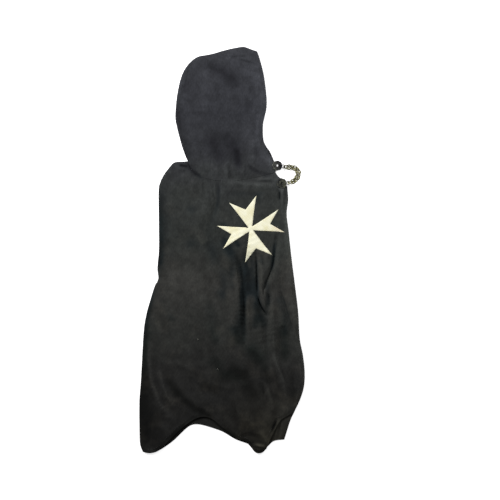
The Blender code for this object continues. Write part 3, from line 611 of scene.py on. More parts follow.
bodyNear["creases"] = (
    ("second trough line", 234, -280, 240, -385, 236, -452, -4.5, 2.4, 3.6),
    ("second hook line", 236, -440, 244, -484, 280, -520, -4, 2.6, 3),
    ("lap line", 293, -290, 290, -360, 262, -398, -6.5, 2.6, 3.6),
    ("lap line end", 268, -388, 246, -414, 264, -458, -5.5, 2.6, 3.2),
    ("slanting line", 315, -424, 339, -496, 360, -578, -3, 3, 3.4),
    ("front hem roll", 316, -858, 292, -904, 262, -952, 3.5, 3.6, 3.6),
    ("lower ridge crest", 290, -660, 322, -708, 342, -770, 2, 4, 4),
    ("corner ridge crest", -124, -620, -140, -752, -70, -842, 2, 4, 4),
    ("second corner crest", -88, -690, -88, -768, -42, -818, 1.6, 4, 4),
    ("slot in front hem", 303, -858, 297, -880, 283, -904, -7, 3.4, 3.4),
    ("spot by ridge", 252, -742, 256, -760, 264, -780, -3.5, 4, 5),
    ("low line", 154, -798, 162, -845, 180, -888, -2, 3.4, 4),
    ("tip line", 178, -930, 212, -902, 262, -942, -3, 3, 3),
    ("nape crease", -2, 10, 6, -27, 60, -48, -5, 5, 5.5),
    ("nape crease end", 30, -36, 60, -56, 96, -60, -1.6, 5, 5),
    ("throat crease low", 206, 4, 226, -34, 296, -36, -5.5, 5, 8),
    ("collar line", 226, -59, 262, -61, 298, -56, -2.2, 3, 3),
    ("collar fold", 226, -50, 262, -51, 294, -46, 2.4, 4, 4),
    ("neck gather 1", 52, -46, 58, -80, 60, -122, -2.2, 4, 4),
    ("neck gather 2", 64, -50, 68, -90, 72, -132, 1.8, 4, 5),
    ("neck gather 3", 36, -38, 40, -70, 38, -104, -1.8, 4, 5),
    ("neck gather 4", 22, -30, 24, -60, 16, -96, 1.4, 6, 6),
    ("neck gather 5", 84, -54, 90, -80, 88, -120, -1.8, 4, 4),
    ("slit at front corner", 312, -84, 313, -104, 311, -128, -3, 4, 4),
    ("slit nib", 298, -72, 303, -92, 301, -112, 1.8, 5, 5),
    ("slit beside edge", 330, -62, 333, -92, 332, -126, -2.6, 3.5, 4),
    ("corner rib", 320, -72, 323, -110, 320, -168, 2.4, 5, 5),
    ("nape slit", -30, 0, -16, -5, 2, -8, -2.6, 3, 3.4),
    ("nape slit low", -34, -12, -22, -16, -8, -22, 1.8, 5, 5),
    ("crease under cross", 120, -228, 132, -262, 118, -300, -1.5, 6, 6),
    ("crease by cross", 92, -190, 84, -240, 96, -300, 1.3, 9, 9),
    ("bank pull 1", 120, -300, 140, -330, 160, -342, 1.4, 5, 6),
    ("bank pull 2", 108, -340, 136, -372, 164, -384, -1.3, 5, 6),
    ("fine pull 1", 205, -500, 212, -540, 208, -600, 1.8, 6, 6),
    ("fine pull 2", 240, -500, 252, -550, 250, -620, 1.8, 6, 7),
    ("fine pull 3", 262, -530, 272, -588, 268, -668, -1.8, 6, 6),
    ("fine pull 4", 150, -490, 158, -560, 150, -640, 1.4, 8, 8),
    ("faint middle crease", 38, -560, 46, -640, 54, -705, -2.5, 6, 6),
    ("faint back crease", -40, -240, -30, -330, -42, -420, 0.9, 12, 12),
    ("shoulder pull", -40, -30, -58, -90, -62, -170, 1.1, 10, 12),
    ("low pull 1", 60, -740, 110, -742, 150, -768, 1.6, 8, 8),
    ("low pull 2", 190, -760, 206, -820, 226, -880, -1.8, 8, 8),
    ("low pull 3", 160, -830, 196, -866, 240, -900, 1.8, 7, 8),
    ("hem ripple 1", 10, -868, 14, -840, 6, -806, 1.4, 7, 7),
    ("hem ripple 2", 70, -866, 72, -846, 66, -820, 1.2, 6, 6),
    ("hem ripple 3", -96, -968, -92, -930, -98, -890, 1.4, 8, 8),
    ("hem ripple 4", -128, -978, -134, -930, -136, -860, -1.4, 8, 8),
    ("hem ripple 5", 132, -900, 124, -870, 120, -838, -1.3, 6, 6),
    ("front pull 1", 348, -300, 356, -360, 360, -430, -1.6, 6, 6),
    ("front pull 2", 366, -470, 368, -530, 376, -590, -1.4, 6, 6),
    ("front pull 3", 352, -560, 360, -620, 372, -680, 1.6, 7, 7),
    ("front pull 4", 300, -700, 306, -748, 316, -800, -2.2, 7, 7),
    ("front pull 5", 372, -700, 376, -744, 366, -800, -1.8, 6, 6),
)
# painted shading, in tenths of a tone: darker below 0, lighter above 0. Most strokes are
# painted shade in hollows, folds and under edges and painted light on ridges, edges and the
# hem tip; the rest are darker and lighter patches. The labels only say where strokes lie.
bodyNear["shadingStrokes"] = (
    ("fold edge, upper", -92, -40, -98, -220, -98, -400, -8, 22, 14),
    ("fold edge, middle", -104, -380, -140, -480, -156, -620, -6, 12, 14),
    ("fold edge, lower", -146, -490, -168, -760, -146, -1010, -13, 32, 24),
    ("back breadth", -60, -80, -66, -220, -60, -420, -1.2, 40, 40),
    ("valley floor", 206, -282, 208, -376, 206, -474, -10, 22, 18),
    ("valley head", 200, -285, 207, -326, 212, -366, 13, 8, 8),
    ("long trough floor", 186, -390, 186, -490, 180, -600, -10, 9, 20),
    ("second trough", 230, -366, 228, -440, 246, -536, -8, 9, 9),
    ("lapped crease", 272, -376, 268, -450, 268, -536, -5, 9, 9),
    ("lap, top", 294, -255, 291, -300, 286, -380, -9, 6, 6),
    ("behind lap", 308, -440, 312, -468, 316, -500, -5, 9, 9),
    ("slanting crease", 322, -480, 332, -530, 336, -600, -5, 8, 9),
    ("below cross arm", 112, -232, 156, -292, 168, -390, -13, 16, 20),
    ("under cross arm", 108, -184, 132, -222, 168, -262, -7, 10, 10),
    ("bank, upper", 148, -340, 152, -392, 154, -440, -7, 12, 12),
    ("breadth by bank", 84, -372, 88, -398, 94, -424, 7, 12, 12),
    ("beside top arm", 240, -90, 242, -112, 238, -140, -5, 10, 12),
    ("neck pleat", 104, -56, 108, -108, 96, -176, -5, 9, 8),
    ("bank foot", 148, -536, 158, -580, 186, -620, -9, 18, 18),
    ("breadth foot", 78, -540, 92, -580, 100, -620, -6, 14, 14),
    ("below second trough", 224, -452, 240, -520, 272, -560, -10, 16, 14),
    ("middle hollow", 190, -610, 226, -640, 270, -690, -9, 26, 24),
    ("hollow, left", 84, -716, 150, -716, 226, -712, -9, 24, 22),
    ("hollow, right", 186, -728, 212, -766, 236, -806, -8, 24, 22),
    ("low middle", 30, -742, 80, -762, 120, -772, -8, 20, 18),
    ("arch trough", 10, -824, 50, -834, 96, -864, -13, 9, 9),
    ("hem, right of arch", 34, -858, 110, -896, 190, -940, -15, 9, 9),
    ("hem, left of arch", -74, -938, -40, -906, -4, -880, -10, 8, 8),
    ("above hem, right", 110, -842, 140, -866, 162, -896, 22, 10, 10),
    ("ridge beside tip", 196, -835, 212, -860, 226, -890, 12, 10, 10),
    ("ridge above tip", 286, -780, 282, -830, 268, -876, 16, 12, 12),
    ("front hem, upper", 350, -796, 316, -850, 300, -890, 34, 20, 18),
    ("tip", 236, -896, 268, -922, 276, -956, 36, 9, 9),
    ("tip fold", 176, -926, 198, -946, 236, -946, -14, 7, 7),
    ("front edge, upper", 330, -40, 340, -230, 360, -420, 34, 13, 12),
    ("front edge, middle", 356, -455, 368, -505, 378, -560, 20, 12, 14),
    ("front edge, lower", 390, -600, 398, -690, 390, -790, 30, 10, 10),
    ("corner by chain", 288, -24, 312, -60, 330, -96, 24, 12, 12),
    ("fold rim, upper", -88, -60, -100, -200, -98, -370, -4, 7, 7),
    ("fold rim, at the notch", -98, -236, -100, -290, -96, -352, -13, 12, 9),
    ("under arm", 152, -250, 168, -264, 178, -284, -11, 8, 8),
    ("bank side", 118, -330, 130, -400, 122, -480, -5, 12, 16),
    ("right of valley head", 246, -290, 250, -318, 252, -346, -11, 7, 7),
    ("fold rim, middle", -110, -395, -146, -520, -160, -700, -8, 7, 7),
    ("fold rim, lower", -158, -600, -170, -790, -158, -990, -14, 10, 8),
    ("lower ridge", 282, -620, 316, -700, 346, -820, 9, 7, 7),
    ("hollow by ridge", 256, -672, 268, -706, 284, -760, -8, 12, 14),
    ("above hollow", 66, -650, 96, -676, 134, -690, -6, 18, 18),
    ("lit before lap", 266, -320, 271, -350, 266, -392, 9, 7, 7),
    ("second ridge, top", -128, -590, -124, -620, -120, -645, 9, 10, 10),
    ("corner ridge, low", -112, -790, -78, -838, -24, -872, 15, 9, 9),
    ("corner, low", -96, -868, -76, -896, -58, -918, 15, 11, 11),
    ("corner tip", -150, -956, -134, -968, -108, -976, 20, 10, 10),
    ("stain on yoke", -8, -142, 12, -152, 32, -158, -5, 13, 13),
    ("stain below yoke", -14, -262, 22, -276, 48, -262, -5, 18, 18),
    ("stain left of cross", 60, -250, 90, -290, 100, -350, -4, 20, 18),
    ("stain on bank", 96, -420, 116, -438, 128, -462, -4, 14, 14),
    ("stain on breadth", 60, -450, 84, -510, 92, -570, -3.5, 22, 22),
    ("stain at back", -70, -505, -56, -520, -44, -535, -4.5, 12, 12),
    ("faded band", -96, -372, -30, -376, 60, -364, 13, 24, 26),
    ("faded back", -60, -400, -50, -440, -40, -490, 7, 24, 24),
    ("faded spot", -10, -600, 2, -625, 10, -655, 13, 15, 16),
    ("below nape", -30, -24, 0, -48, 34, -66, 7, 10, 12),
    ("collar, lower", 160, -72, 215, -76, 275, -74, 15, 9, 10),
    ("below hollow", 176, -928, 214, -896, 262, -938, -5, 6, 6),
    ("narrow trough", 190, -400, 188, -520, 190, -640, -6, 9, 7),
    ("lower valley", 318, -530, 330, -600, 334, -680, -3, 17, 17),
    ("left of cross", 70, -160, 84, -240, 92, -350, -2.4, 34, 30),
    ("pleat side", 82, -62, 86, -104, 84, -150, 6, 7, 7),
    ("warm breadth", -70, -330, 10, -400, 60, -540, 2.2, 50, 60),
    ("bank crest", 150, -300, 168, -400, 166, -490, 1.5, 8, 18),
    ("front panel", 318, -210, 326, -320, 326, -430, 4, 22, 26),
    ("front panel, upper", 318, -70, 326, -170, 330, -270, 3, 16, 18),
    ("front panel, lower", 350, -420, 366, -540, 378, -680, 1.5, 22, 18),
    ("corner ridge", -126, -590, -144, -744, -60, -866, 20, 7, 6),
    ("second corner ridge", -92, -670, -96, -768, -30, -834, 14, 6, 6),
    ("low hollow", 110, -690, 200, -745, 262, -690, -2.2, 44, 50),
    ("over the arch", -70, -715, -40, -790, 66, -856, -9, 13, 14),
    ("corner", -150, -760, -130, -930, -60, -1000, -4.2, 44, 30),
    ("front hem", 246, -820, 280, -880, 256, -950, 18, 28, 30),
    ("front hem roll", 318, -852, 294, -904, 262, -960, 48, 3.4, 3.2),
    ("front hem slot", 305, -852, 297, -882, 280, -914, -30, 4.4, 4.4),
    ("hem tip light", 222, -948, 246, -951, 270, -956, 95, 4.4, 4.8),
    ("hem tip shadow", 222, -966, 244, -974, 268, -970, -20, 4, 4),
    ("pale strip at front", 334, -150, 337, -205, 336, -262, 12, 7, 8),
    ("dim behind strip", 331, -96, 333, -122, 331, -150, -10, 9, 9),
    ("rubbed below lap", 354, -384, 355, -402, 353, -420, 9, 9, 10),
    ("dim lower front", 236, -508, 229, -535, 226, -560, -9, 12, 12),
    ("rubbed near hem", 340, -850, 338, -866, 326, -886, 10, 10, 12),
    ("dim above tail", 74, -868, 64, -888, 52, -904, -11, 13, 13),
    ("second ridge foot", -82, -766, -62, -800, -34, -830, 13, 5, 5),
    ("ridge by spot", 268, -744, 277, -778, 286, -812, 18, 4, 5),
    ("lower ridge crest", 294, -664, 323, -712, 344, -780, 12, 4, 4),
    ("collar, left", 112, -58, 190, -66, 262, -66, 6, 9, 9),
    ("collar, upper right", 214, -50, 262, -51, 312, -46, 11, 5, 5),
    ("collar, lower right", 214, -70, 262, -72, 312, -66, 15, 6, 8),
    ("collar hollow", 122, -96, 196, -100, 282, -94, -2.5, 9, 11),
    ("nape", -2, 12, 8, -28, 62, -48, -7, 9, 8),
    ("nape slit", -30, 1, -16, -4, 2, -6, -14, 4, 4),
    ("front slot", 311, -86, 313, -104, 311, -122, -19, 2.4, 2.4),
    ("slit beside edge", 330, -56, 334, -92, 333, -132, -13, 4, 4),
    ("corner rib", 320, -70, 323, -110, 320, -180, 12, 4, 4),
    ("neck seam", 40, -40, 151, -68, 262, -36, 7, 4, 4),
    ("throat crease", 200, 10, 222, -36, 300, -34, -3, 7, 8),
    ("beside valley", 246, -270, 252, -400, 258, -500, 2, 8, 6),
    ("yoke", -40, -60, 60, -120, 140, -130, 0.8, 40, 60),
)

# The near half of the hood
hoodNear = {
    "rows": ((0.0, 0.03, 6), (0.03, 0.15, 18), (0.15, 0.84, 76), (0.84, 0.97, 22),
             (0.97, 1.0, 6)),
    "rolled": (("hood back", lay["foldRadius"], 0.0), ("hood crown", lay["foldRadius"], 0.0),
               ("neck seam", 3 * mm, 0.97)),
    "blend": 34 * mm,  # how far above the seam the hood takes the body's puff
    "free": ("near face",),
    "hemmed": ("near face",), "hemWidth": 16 * mm, "hemThick": 0.9 * mm,
    "waves": ((80 * mm, 1.0 * mm), (30 * mm, 0.6 * mm), (13 * mm, 0.22 * mm)), "seed": 2.0,
    "flat": (0.37, 0.48), "area": 0.142,
}
hoodNear["folds"] = (
    ("crown trough", 28, 346, 150, 332, 178, 240, -5.5, 20, 19),
    ("peak crease", 136, 368, 180, 356, 250, 328, -3.5, 6, 6),
    ("peak swell", 120, 360, 180, 375, 236, 350, 3, 18, 18),
    ("crown ridge", 46, 328, 78, 289, 100, 222, 4.5, 13, 14),
    ("face hollow", 224, 270, 220, 225, 206, 150, -4.5, 13, 15),
    ("throat swell", 206, 150, 208, 96, 222, 30, 5.5, 18, 15),
    ("throat trough", 120, 112, 172, 66, 170, -40, -6.5, 14, 20),
    ("throat band", 222, 84, 228, 40, 222, -4, 3, 9, 8),
    ("cheek swell", 90, 260, 130, 170, 110, 60, 3, 60, 50),
    ("neck bump", 131, 12, 134, -20, 138, -52, 4, 8, 8),
    ("neck puff", 20, 2, 110, -26, 250, -16, 3.5, 22, 22),
    ("nape crease", -14, 86, 4, 68, 24, 54, -3.5, 7, 7),
    ("nape ridge", 14, 78, 32, 48, 50, 8, 3.5, 10, 9),
)
hoodNear["creases"] = (
    ("first peak line", 142, 366, 176, 367, 212, 361, -2.6, 3, 4),
    ("second peak line", 170, 357, 206, 352, 244, 330, -2.6, 4, 4),
    ("peak nib", 150, 380, 176, 372, 214, 374, 1.6, 5, 5),
    ("crown pull", 60, 352, 90, 330, 128, 318, 1.8, 6, 6),
    ("crown pull 2", 96, 344, 124, 312, 136, 272, -1.8, 6, 6),
    ("back seam", 3, 338, 4, 290, -22, 232, -1.6, 4, 4),
    ("back seam low", -28, 190, -26, 130, -12, 60, -1.3, 4, 4),
    ("face pull 1", 240, 290, 236, 250, 240, 210, 1.4, 6, 6),
    ("face pull 2", 236, 190, 228, 150, 234, 110, -1.2, 6, 6),
    ("cheek pull 1", 60, 150, 90, 138, 120, 116, -1.2, 8, 8),
    ("cheek pull 2", 40, 222, 60, 200, 70, 168, 1.2, 8, 8),
    ("seam pucker 1", 74, -40, 78, -10, 76, 22, -1.6, 5, 5),
    ("seam pucker 2", 100, -46, 102, -16, 98, 14, 1.3, 5, 5),
    ("seam pucker 3", 186, -44, 190, -16, 198, 14, 1.6, 6, 6),
    ("seam pucker 5", 44, -34, 50, -4, 52, 26, 1.2, 5, 5),
    ("nape pull", 4, 110, 18, 96, 36, 92, 1.2, 6, 6),
)
# painted shading of the hood in tenths of a tone, as for the body: painted light on the face edge,
# throat and peak, painted shade in the hollows and along the back edge
hoodNear["shadingStrokes"] = (
    ("crown band", 20, 366, 70, 356, 120, 362, 2, 10, 10),
    ("peak, right", 206, 356, 230, 300, 244, 250, 8, 18, 18),
    ("back fold, upper", 2, 300, -4, 270, -16, 240, -3.5, 10, 10),
    ("crown hollow", 36, 344, 140, 326, 176, 244, -3.6, 22, 24),
    ("upper back", 36, 320, 70, 280, 96, 220, 2, 22, 26),
    ("face light", 208, 262, 214, 240, 208, 214, 5, 14, 16),
    ("cheek", 60, 110, 120, 84, 160, 40, -2.2, 44, 50),
    ("throat dark", 150, 96, 176, 50, 170, -30, -3.6, 14, 16),
    ("throat light", 204, 140, 206, 100, 216, 62, 3.4, 22, 22),
    ("throat band", 226, 90, 250, 30, 310, -20, 14, 18, 14),
    ("face side", 246, 320, 258, 220, 246, 100, 4.5, 24, 26),
    ("back edge low", -34, 110, -14, 60, 6, 16, -6, 9, 9),
    ("back edge", -34, 218, -40, 165, -22, 100, -7, 12, 9),
    ("face side, low", 250, 190, 244, 120, 214, 40, 12, 24, 26),
    ("face edge", 254, 330, 264, 230, 256, 110, 15, 12, 14),
    ("cheek, low", 60, 116, 96, 46, 130, -2, -6, 20, 24),
    ("throat hollow", 166, 70, 170, 20, 178, -30, -5.5, 12, 12),
    ("neck bump", 130, -8, 130, -30, 132, -60, 12, 9, 9),
    ("throat light, low", 206, 40, 232, 20, 262, -6, 7, 14, 14),
    ("throat right", 262, 34, 284, 2, 302, -24, 18, 12, 12),
)

# how much painted light and shade the form gets: tone a mm of lift, tone a mm of a named
# shade, and the width in mm from which a fold is too broad to get any
paintedShadingDepth = {"lift": 0.065, "shade": 0.1, "broad": 30}


def nearLift(points):
    # one relief for body and hood, so that nothing steps at the seam
    folds = bodyNear["folds"] + bodyNear["creases"] + hoodNear["folds"] + hoodNear["creases"]
    return foldLift(points, folds)


def bodyHeight(points):
    lift = lay["bodyPuff"] + nearLift(points)
    return lifted(lift + hemStep(points, bodyNear), edgeRise(points, bodyNear))


def hoodHeight(points):
    away = eased(np.clip(distanceTo(edgeLine("neck seam", 8), points) / hoodNear["blend"], 0, 1))
    lift = nearLift(points) + lay["bodyPuff"] + away * (lay["hoodPuff"] - lay["bodyPuff"])
    return lifted(lift + hemStep(points, hoodNear), edgeRise(points, hoodNear))


def paintedShading(points, looks):
    # painted light on ridges and painted shade in troughs, with the painted light and shade of the
    # strokes
    folds = [fold for look in looks for fold in look["folds"] + look.get("creases", ())
             if max(fold[-2:]) < paintedShadingDepth["broad"]]
    shadingStrokes = [shade for look in looks for shade in look["shadingStrokes"]]
    tone = np.clip(paintedShadingDepth["lift"] * foldLift(points, folds) / mm, -1, 1)
    return tone + paintedShadingDepth["shade"] * foldLift(points, shadingStrokes) / mm


def bodyPlan(look, half):
    first, hemShares, seam = [edgeLine("back shoulder")[0]], [0.0], []
    for line, start, end, hemStart, hemEnd, count in look["columns"]:
        points = alongLine(edgeLine(line), np.linspace(start, end, count + 1)[1:])
        if line == "neck seam":
            seam = (seam or [first[-1]]) + list(points)
        first += list(points)
        hemShares += list(np.linspace(hemStart, hemEnd, count + 1)[1:])
    first = np.array(first)
    down = gridShares(look["rows"])
    back = alongLine(edgeLine("back fold"), down)
    front = alongLine(edgeLine(half + " front"), down)
    hem = alongLine(edgeLine(half + " hem"), hemShares)
    return fillPatch(first, hem, back, front, lengthShares(first), down), np.array(seam)


def hoodPlan(look, half, seam):
    run = np.gradient(seam, axis=0)
    across = np.stack((-run[:, 1], run[:, 0]), -1)
    first = seam + lay["sewnGap"] * across / np.linalg.norm(across, axis=1)[:, None]
    shares = lengthShares(first)
    up = gridShares(look["rows"])
    back = alongLine(edgeLine("hood back"), up)
    face = alongLine(edgeLine(half + " face"), up)
    back[0], face[0] = first[0], first[-1]
    return fillPatch(first, alongLine(edgeLine("hood crown"), shares), back, face, shares, up)


def nearShell(plan, look, heightOf):
    # the wall under its height field, with an uneven ripple of its own
    outer, inner = nearWall(plan, heightOf)
    ripple = softWaves(plan, look["seed"], look["waves"]) * edgeRise(plan, look)
    outer = np.maximum(outer + ripple, nearEdge)
    inner = np.maximum(inner + ripple, nearUnder)
    # with the painted shading of both near halves
    return clothShell(np.dstack((plan, outer)), np.dstack((plan, inner)), lay["nearRim"],
                      paintedShading(plan, (bodyNear, hoodNear)))


nearPlan, nearSeam = bodyPlan(bodyNear, "near")
clothBodyNear = addPiece("clothBodyNear", nearShell(nearPlan, bodyNear, bodyHeight),
                         bodyCloth, ("body_near",))
hoodNearPlan = hoodPlan(hoodNear, "near", nearSeam)
clothHoodNear = addPiece("clothHoodNear", nearShell(hoodNearPlan, hoodNear, hoodHeight),
                         hoodCloth, ("hood_near",))
print("near halves", len(clothBodyNear.data.polygons), len(clothHoodNear.data.polygons))

# The far halves lie flat on the surface; only the strips that show have any relief
bodyFar = {
    "columns": (
        ("back shoulder", 0.00, 1.00, 0.000, 0.190, 12),
        ("neck seam", 0.00, 0.37, 0.190, 0.550, 24),
        ("neck seam", 0.37, 1.00, 0.550, 0.860, 28),
        ("front shoulder", 0.00, 1.00, 0.860, 1.000, 22),
    ),
    "rows": ((0.0, 0.1, 8), (0.1, 0.82, 50), (0.82, 0.97, 44), (0.97, 1.0, 12)),
    "flat": (0.6, 1.01), "area": 0.468,
    "paintedEdgeShadow": 6 * mm, "paintedEdgeShadowTone": -1.6,  # painted shadow beside the near half's edge: its width and its tone
    "folds": (
        ("far pleat 1", 300, -870, 304, -900, 298, -934, 2.2, 4, 4),
        ("far pleat 2", 311, -866, 314, -900, 309, -934, -1.4, 4, 4),
        ("far pleat 3", 322, -860, 324, -896, 318, -934, 2.4, 5, 4),
        ("far pleat 4", 336, -850, 334, -880, 328, -920, 1.8, 5, 4),
        ("far pleat 5", 350, -842, 344, -866, 338, -896, 1.6, 5, 5),
        ("far hem ripple 1", 20, -870, 24, -880, 20, -884, 1, 9, 9),
        ("far hem ripple 2", 74, -874, 80, -886, 76, -894, 1.4, 7, 7),
        ("far hem ripple 3", 118, -892, 122, -902, 118, -910, -1, 8, 8),
    ),
    # painted light along the front hem, in tenths of a tone
    "shadingStrokes": (
        ("front hem", 330, -820, 320, -890, 300, -960, 24, 40, 40),
    ),
}
hoodFar = {"rows": ((0.0, 0.1, 6), (0.1, 0.9, 30), (0.9, 1.0, 8)),
           "flat": (0.37, 0.48), "area": 0.14}


def farShell(plan, relief, shadingTones=None):
    top = np.dstack((plan, farTop + relief))
    return clothShell(top, np.dstack((plan, np.zeros(plan.shape[:2]))), lay["farRim"], shadingTones)


farPlan, farSeam = bodyPlan(bodyFar, "far")
# painted shadow on the far half along the near half's front and hem edges
fromEdge = np.minimum(distanceTo(edgeLine("near front", 8), farPlan),
                      distanceTo(edgeLine("near hem", 8), farPlan))
paintedEdgeShadow = bodyFar["paintedEdgeShadowTone"] * np.exp(-(fromEdge / bodyFar["paintedEdgeShadow"])**2)
farBody = farShell(farPlan, foldLift(farPlan, bodyFar["folds"]),
                   paintedEdgeShadow + paintedShading(farPlan, (bodyFar,)))
clothBodyFar = addPiece("clothBodyFar", farBody, bodyCloth, ("body_far",))
hoodFarPlan = hoodPlan(hoodFar, "far", farSeam)
farHood = farShell(hoodFarPlan, np.zeros(hoodFarPlan.shape[:2]))
clothHoodFar = addPiece("clothHoodFar", farHood, hoodCloth, ("hood_far",))
print("far halves", len(clothBodyFar.data.polygons), len(clothHoodFar.data.polygons))

# The cross: eight points, cut from cream twill and sewn flat on the near half
cross = {
    "centre": (214, -218), "tilt": math.radians(15), "arm": 115, "notch": 68, "waist": 7,
    "tipAngles": (math.radians(20.5), math.radians(24.5)), "flare": 0.43,
    "sideSteps": 12, "notchSteps": 4,
    "thick": 1.2 * mm, "turnedEdge": 3 * mm, "edgeThick": 0.55,  # of thick, at its rim
    "cut": 4 * mm, "flat": (0.236, 0.236), "area": 0.0174,
}


def crossOutline(look):
    points = []
    share = np.linspace(0, 1, look["sideSteps"] + 1)[:-1, None]
    half = np.linspace(0, 1, look["notchSteps"] + 1)[:-1, None]
    for quarter in range(4):
        spread = look["tipAngles"][quarter % 2]
        tip = look["arm"] * np.array((math.cos(spread), math.sin(spread)))
        corner = look["waist"] * np.array((1, 1))
        notch = np.array((look["notch"], 0))
        bow = np.array((0.5 * tip[0], look["flare"] * tip[1] + 0.5 * look["waist"]))
        rise = bowLine(corner, bow, tip, share)
        fall = bowLine(tip, bow, corner, share)
        arm = [rise * (1, -1), tip * (1, -1) + (notch - tip * (1, -1)) * half,
               notch + (tip - notch) * half, fall]
        turn = look["tilt"] + quarter * math.pi / 2
        spin = np.array(((math.cos(turn), math.sin(turn)), (-math.sin(turn), math.cos(turn))))
        points.append(np.vstack(arm) @ spin)
    return nape + (np.array(look["centre"]) + np.vstack(points)) * mm


def crossShell(look):
    outline = crossOutline(look)
    bm = bmesh.new()
    bm.faces.new([bm.verts.new((x, y, 0)) for x, y in outline])
    low, high = outline.min(0), outline.max(0)
    for axis in (0, 1):  # cut the flat shape into small cells that can follow the folds
        normal = np.eye(3)[axis]
        for where in np.arange(low[axis] + look["cut"], high[axis], look["cut"]):
            bmesh.ops.bisect_plane(bm, geom=bm.verts[:] + bm.edges[:] + bm.faces[:],
                                   plane_co=where * normal, plane_no=normal, dist=1e-6)
    bmesh.ops.remove_doubles(bm, verts=bm.verts[:], dist=0.05 * mm)
    plan = np.array([vert.co.xy for vert in bm.verts])
    ground = bodyHeight(plan)
    away = distanceTo(np.vstack((outline, outline[:1])), plan)
    ratio = np.clip(away / look["turnedEdge"], 0, 1)
    swell = look["edgeThick"] + (1 - look["edgeThick"]) * np.sqrt(ratio * (2 - ratio))
    top = ground + lay["seamGap"] + look["thick"] * swell
    place = bm.verts.layers.int.new("place")
    for index, vert in enumerate(bm.verts):
        vert[place] = index
        vert.co.z = top[index]
    growDown(bm, place, np.column_stack((plan, ground + 0.5 * lay["seamGap"])))
    bm.verts.layers.int.remove(bm.verts.layers.int["place"])
    return bm


clothCross = addPiece("clothCross", crossShell(cross), cream, ("cross",))
print("cross", len(clothCross.data.polygons))


def addCopy(bm, mesh, matrix):
    copy = mesh.copy()
    copy.transform(matrix)
    bm.from_mesh(copy)
    bpy.data.meshes.remove(copy)


def ballMesh(name, subdivisions, size):
    bm = bmesh.new()
    bmesh.ops.create_icosphere(bm, subdivisions=subdivisions, radius=0.5)
    bmesh.ops.scale(bm, verts=bm.verts[:], vec=size)
    return asMesh(bm, name)


def facing(direction):
    # turns a piece's X along the direction, its Z up
    return direction.to_track_quat("X", "Z").to_matrix().to_4x4()


def insetLine(line, gap, spare):
    # a line moved to its left by gap, without its ends
    shares = np.linspace(spare, 1 - spare, 400)
    points = alongLine(line, shares)
    run = np.gradient(points, axis=0)
    run /= np.linalg.norm(run, axis=1)[:, None]
    return points + gap * np.stack((-run[:, 1], run[:, 0]), -1)


def stitchRows(name, plans, heightOf, look, material):
    # straight machine stitches: short rounded lengths of thread that dip at both ends
    pattern = ballMesh("stitch", 1, (look["stitch"], look["thread"], look["thread"]))
    bm = bmesh.new()
    for plan in plans:
        count = int(np.linalg.norm(np.diff(plan, axis=0), axis=1).sum() / look["pitch"])
        centres = alongLine(plan, (np.arange(count) + 0.5) / count)
        ahead = alongLine(plan, np.clip((np.arange(count) + 0.9) / count, 0, 1))
        for here, there in zip(np.column_stack((centres, heightOf(centres))),
                               np.column_stack((ahead, heightOf(ahead)))):
            addCopy(bm, pattern, Matrix.Translation(here) @ facing(Vector(there - here)))
    bpy.data.meshes.remove(pattern)
    return addPiece(name, bm, material)


def crossTop(points):
    return bodyHeight(points) + lay["seamGap"] + cross["thick"]


sewing = {"pitch": 3.6 * mm, "stitch": 2.6 * mm, "thread": 0.6 * mm}
crossSewing = {"pitch": 2.6 * mm, "stitch": 2.0 * mm, "thread": 0.45 * mm,
               "inset": 3 * mm, "spare": 0.11}
crownLine = np.vstack((edgeLine("hood back"), edgeLine("hood crown")[1:]))
sewnLines = (  # name, line, how far to its left, the share left bare at its ends, what it is on
    ("hemStitches", edgeLine("near hem"), 13 * mm, 0.03, bodyHeight, "body_cloth"),
    ("frontStitches", edgeLine("near front"), -13 * mm, 0.02, bodyHeight, "body_cloth"),
    ("faceStitches", edgeLine("near face"), 15 * mm, 0.04, hoodHeight, "hood_cloth"),
    ("crownStitches", crownLine, -11 * mm, 0.04, hoodHeight, "hood_cloth"),
)
hemStitches, frontStitches, faceStitches, crownStitches = [
    stitchRows(name, [insetLine(line, gap, spare)], heightOf, sewing,
               threads["blackSewingThread"])
    for name, line, gap, spare, heightOf, slotName in sewnLines]
closed = crossOutline(cross)
closed = np.vstack((closed, closed[:1]))
crossEdges = []
start = 0
while start < len(closed) - 1:  # an arm's outline: side, two notch edges, side
    for steps in (cross["sideSteps"], cross["notchSteps"], cross["notchSteps"], cross["sideSteps"]):
        crossEdges.append(insetLine(closed[start:start + steps + 1], crossSewing["inset"],
                                    crossSewing["spare"]))
        start += steps
crossStitches = stitchRows("crossStitches", crossEdges, crossTop, crossSewing,
                           threads["creamSewingThread"])
print("stitches")

# Lint caught in the nap: two short pale fibres
lint = {"thread": 0.9 * mm, "above": 0.4 * mm,
        "fibres": (((101, -690), (104, -696)), ((33, -590), (36, -594)))}
fibre = ballMesh("fibre", 2, (1, 1, 1))
bm = bmesh.new()
for ends in lint["fibres"]:
    start, end = nape + np.array(ends) * mm
    middle = (start + end) / 2
    run = Vector((*(end - start), 0.0))
    stretch = Matrix.Diagonal((run.length, lint["thread"], lint["thread"], 1))
    level = bodyHeight(middle[None])[0] + lint["above"]
    addCopy(bm, fibre, Matrix.Translation((*middle, level)) @ facing(run) @ stretch)
lintFlecks = addPiece("lintFlecks", bm, threads["paleCottonLint"])
print("lint")

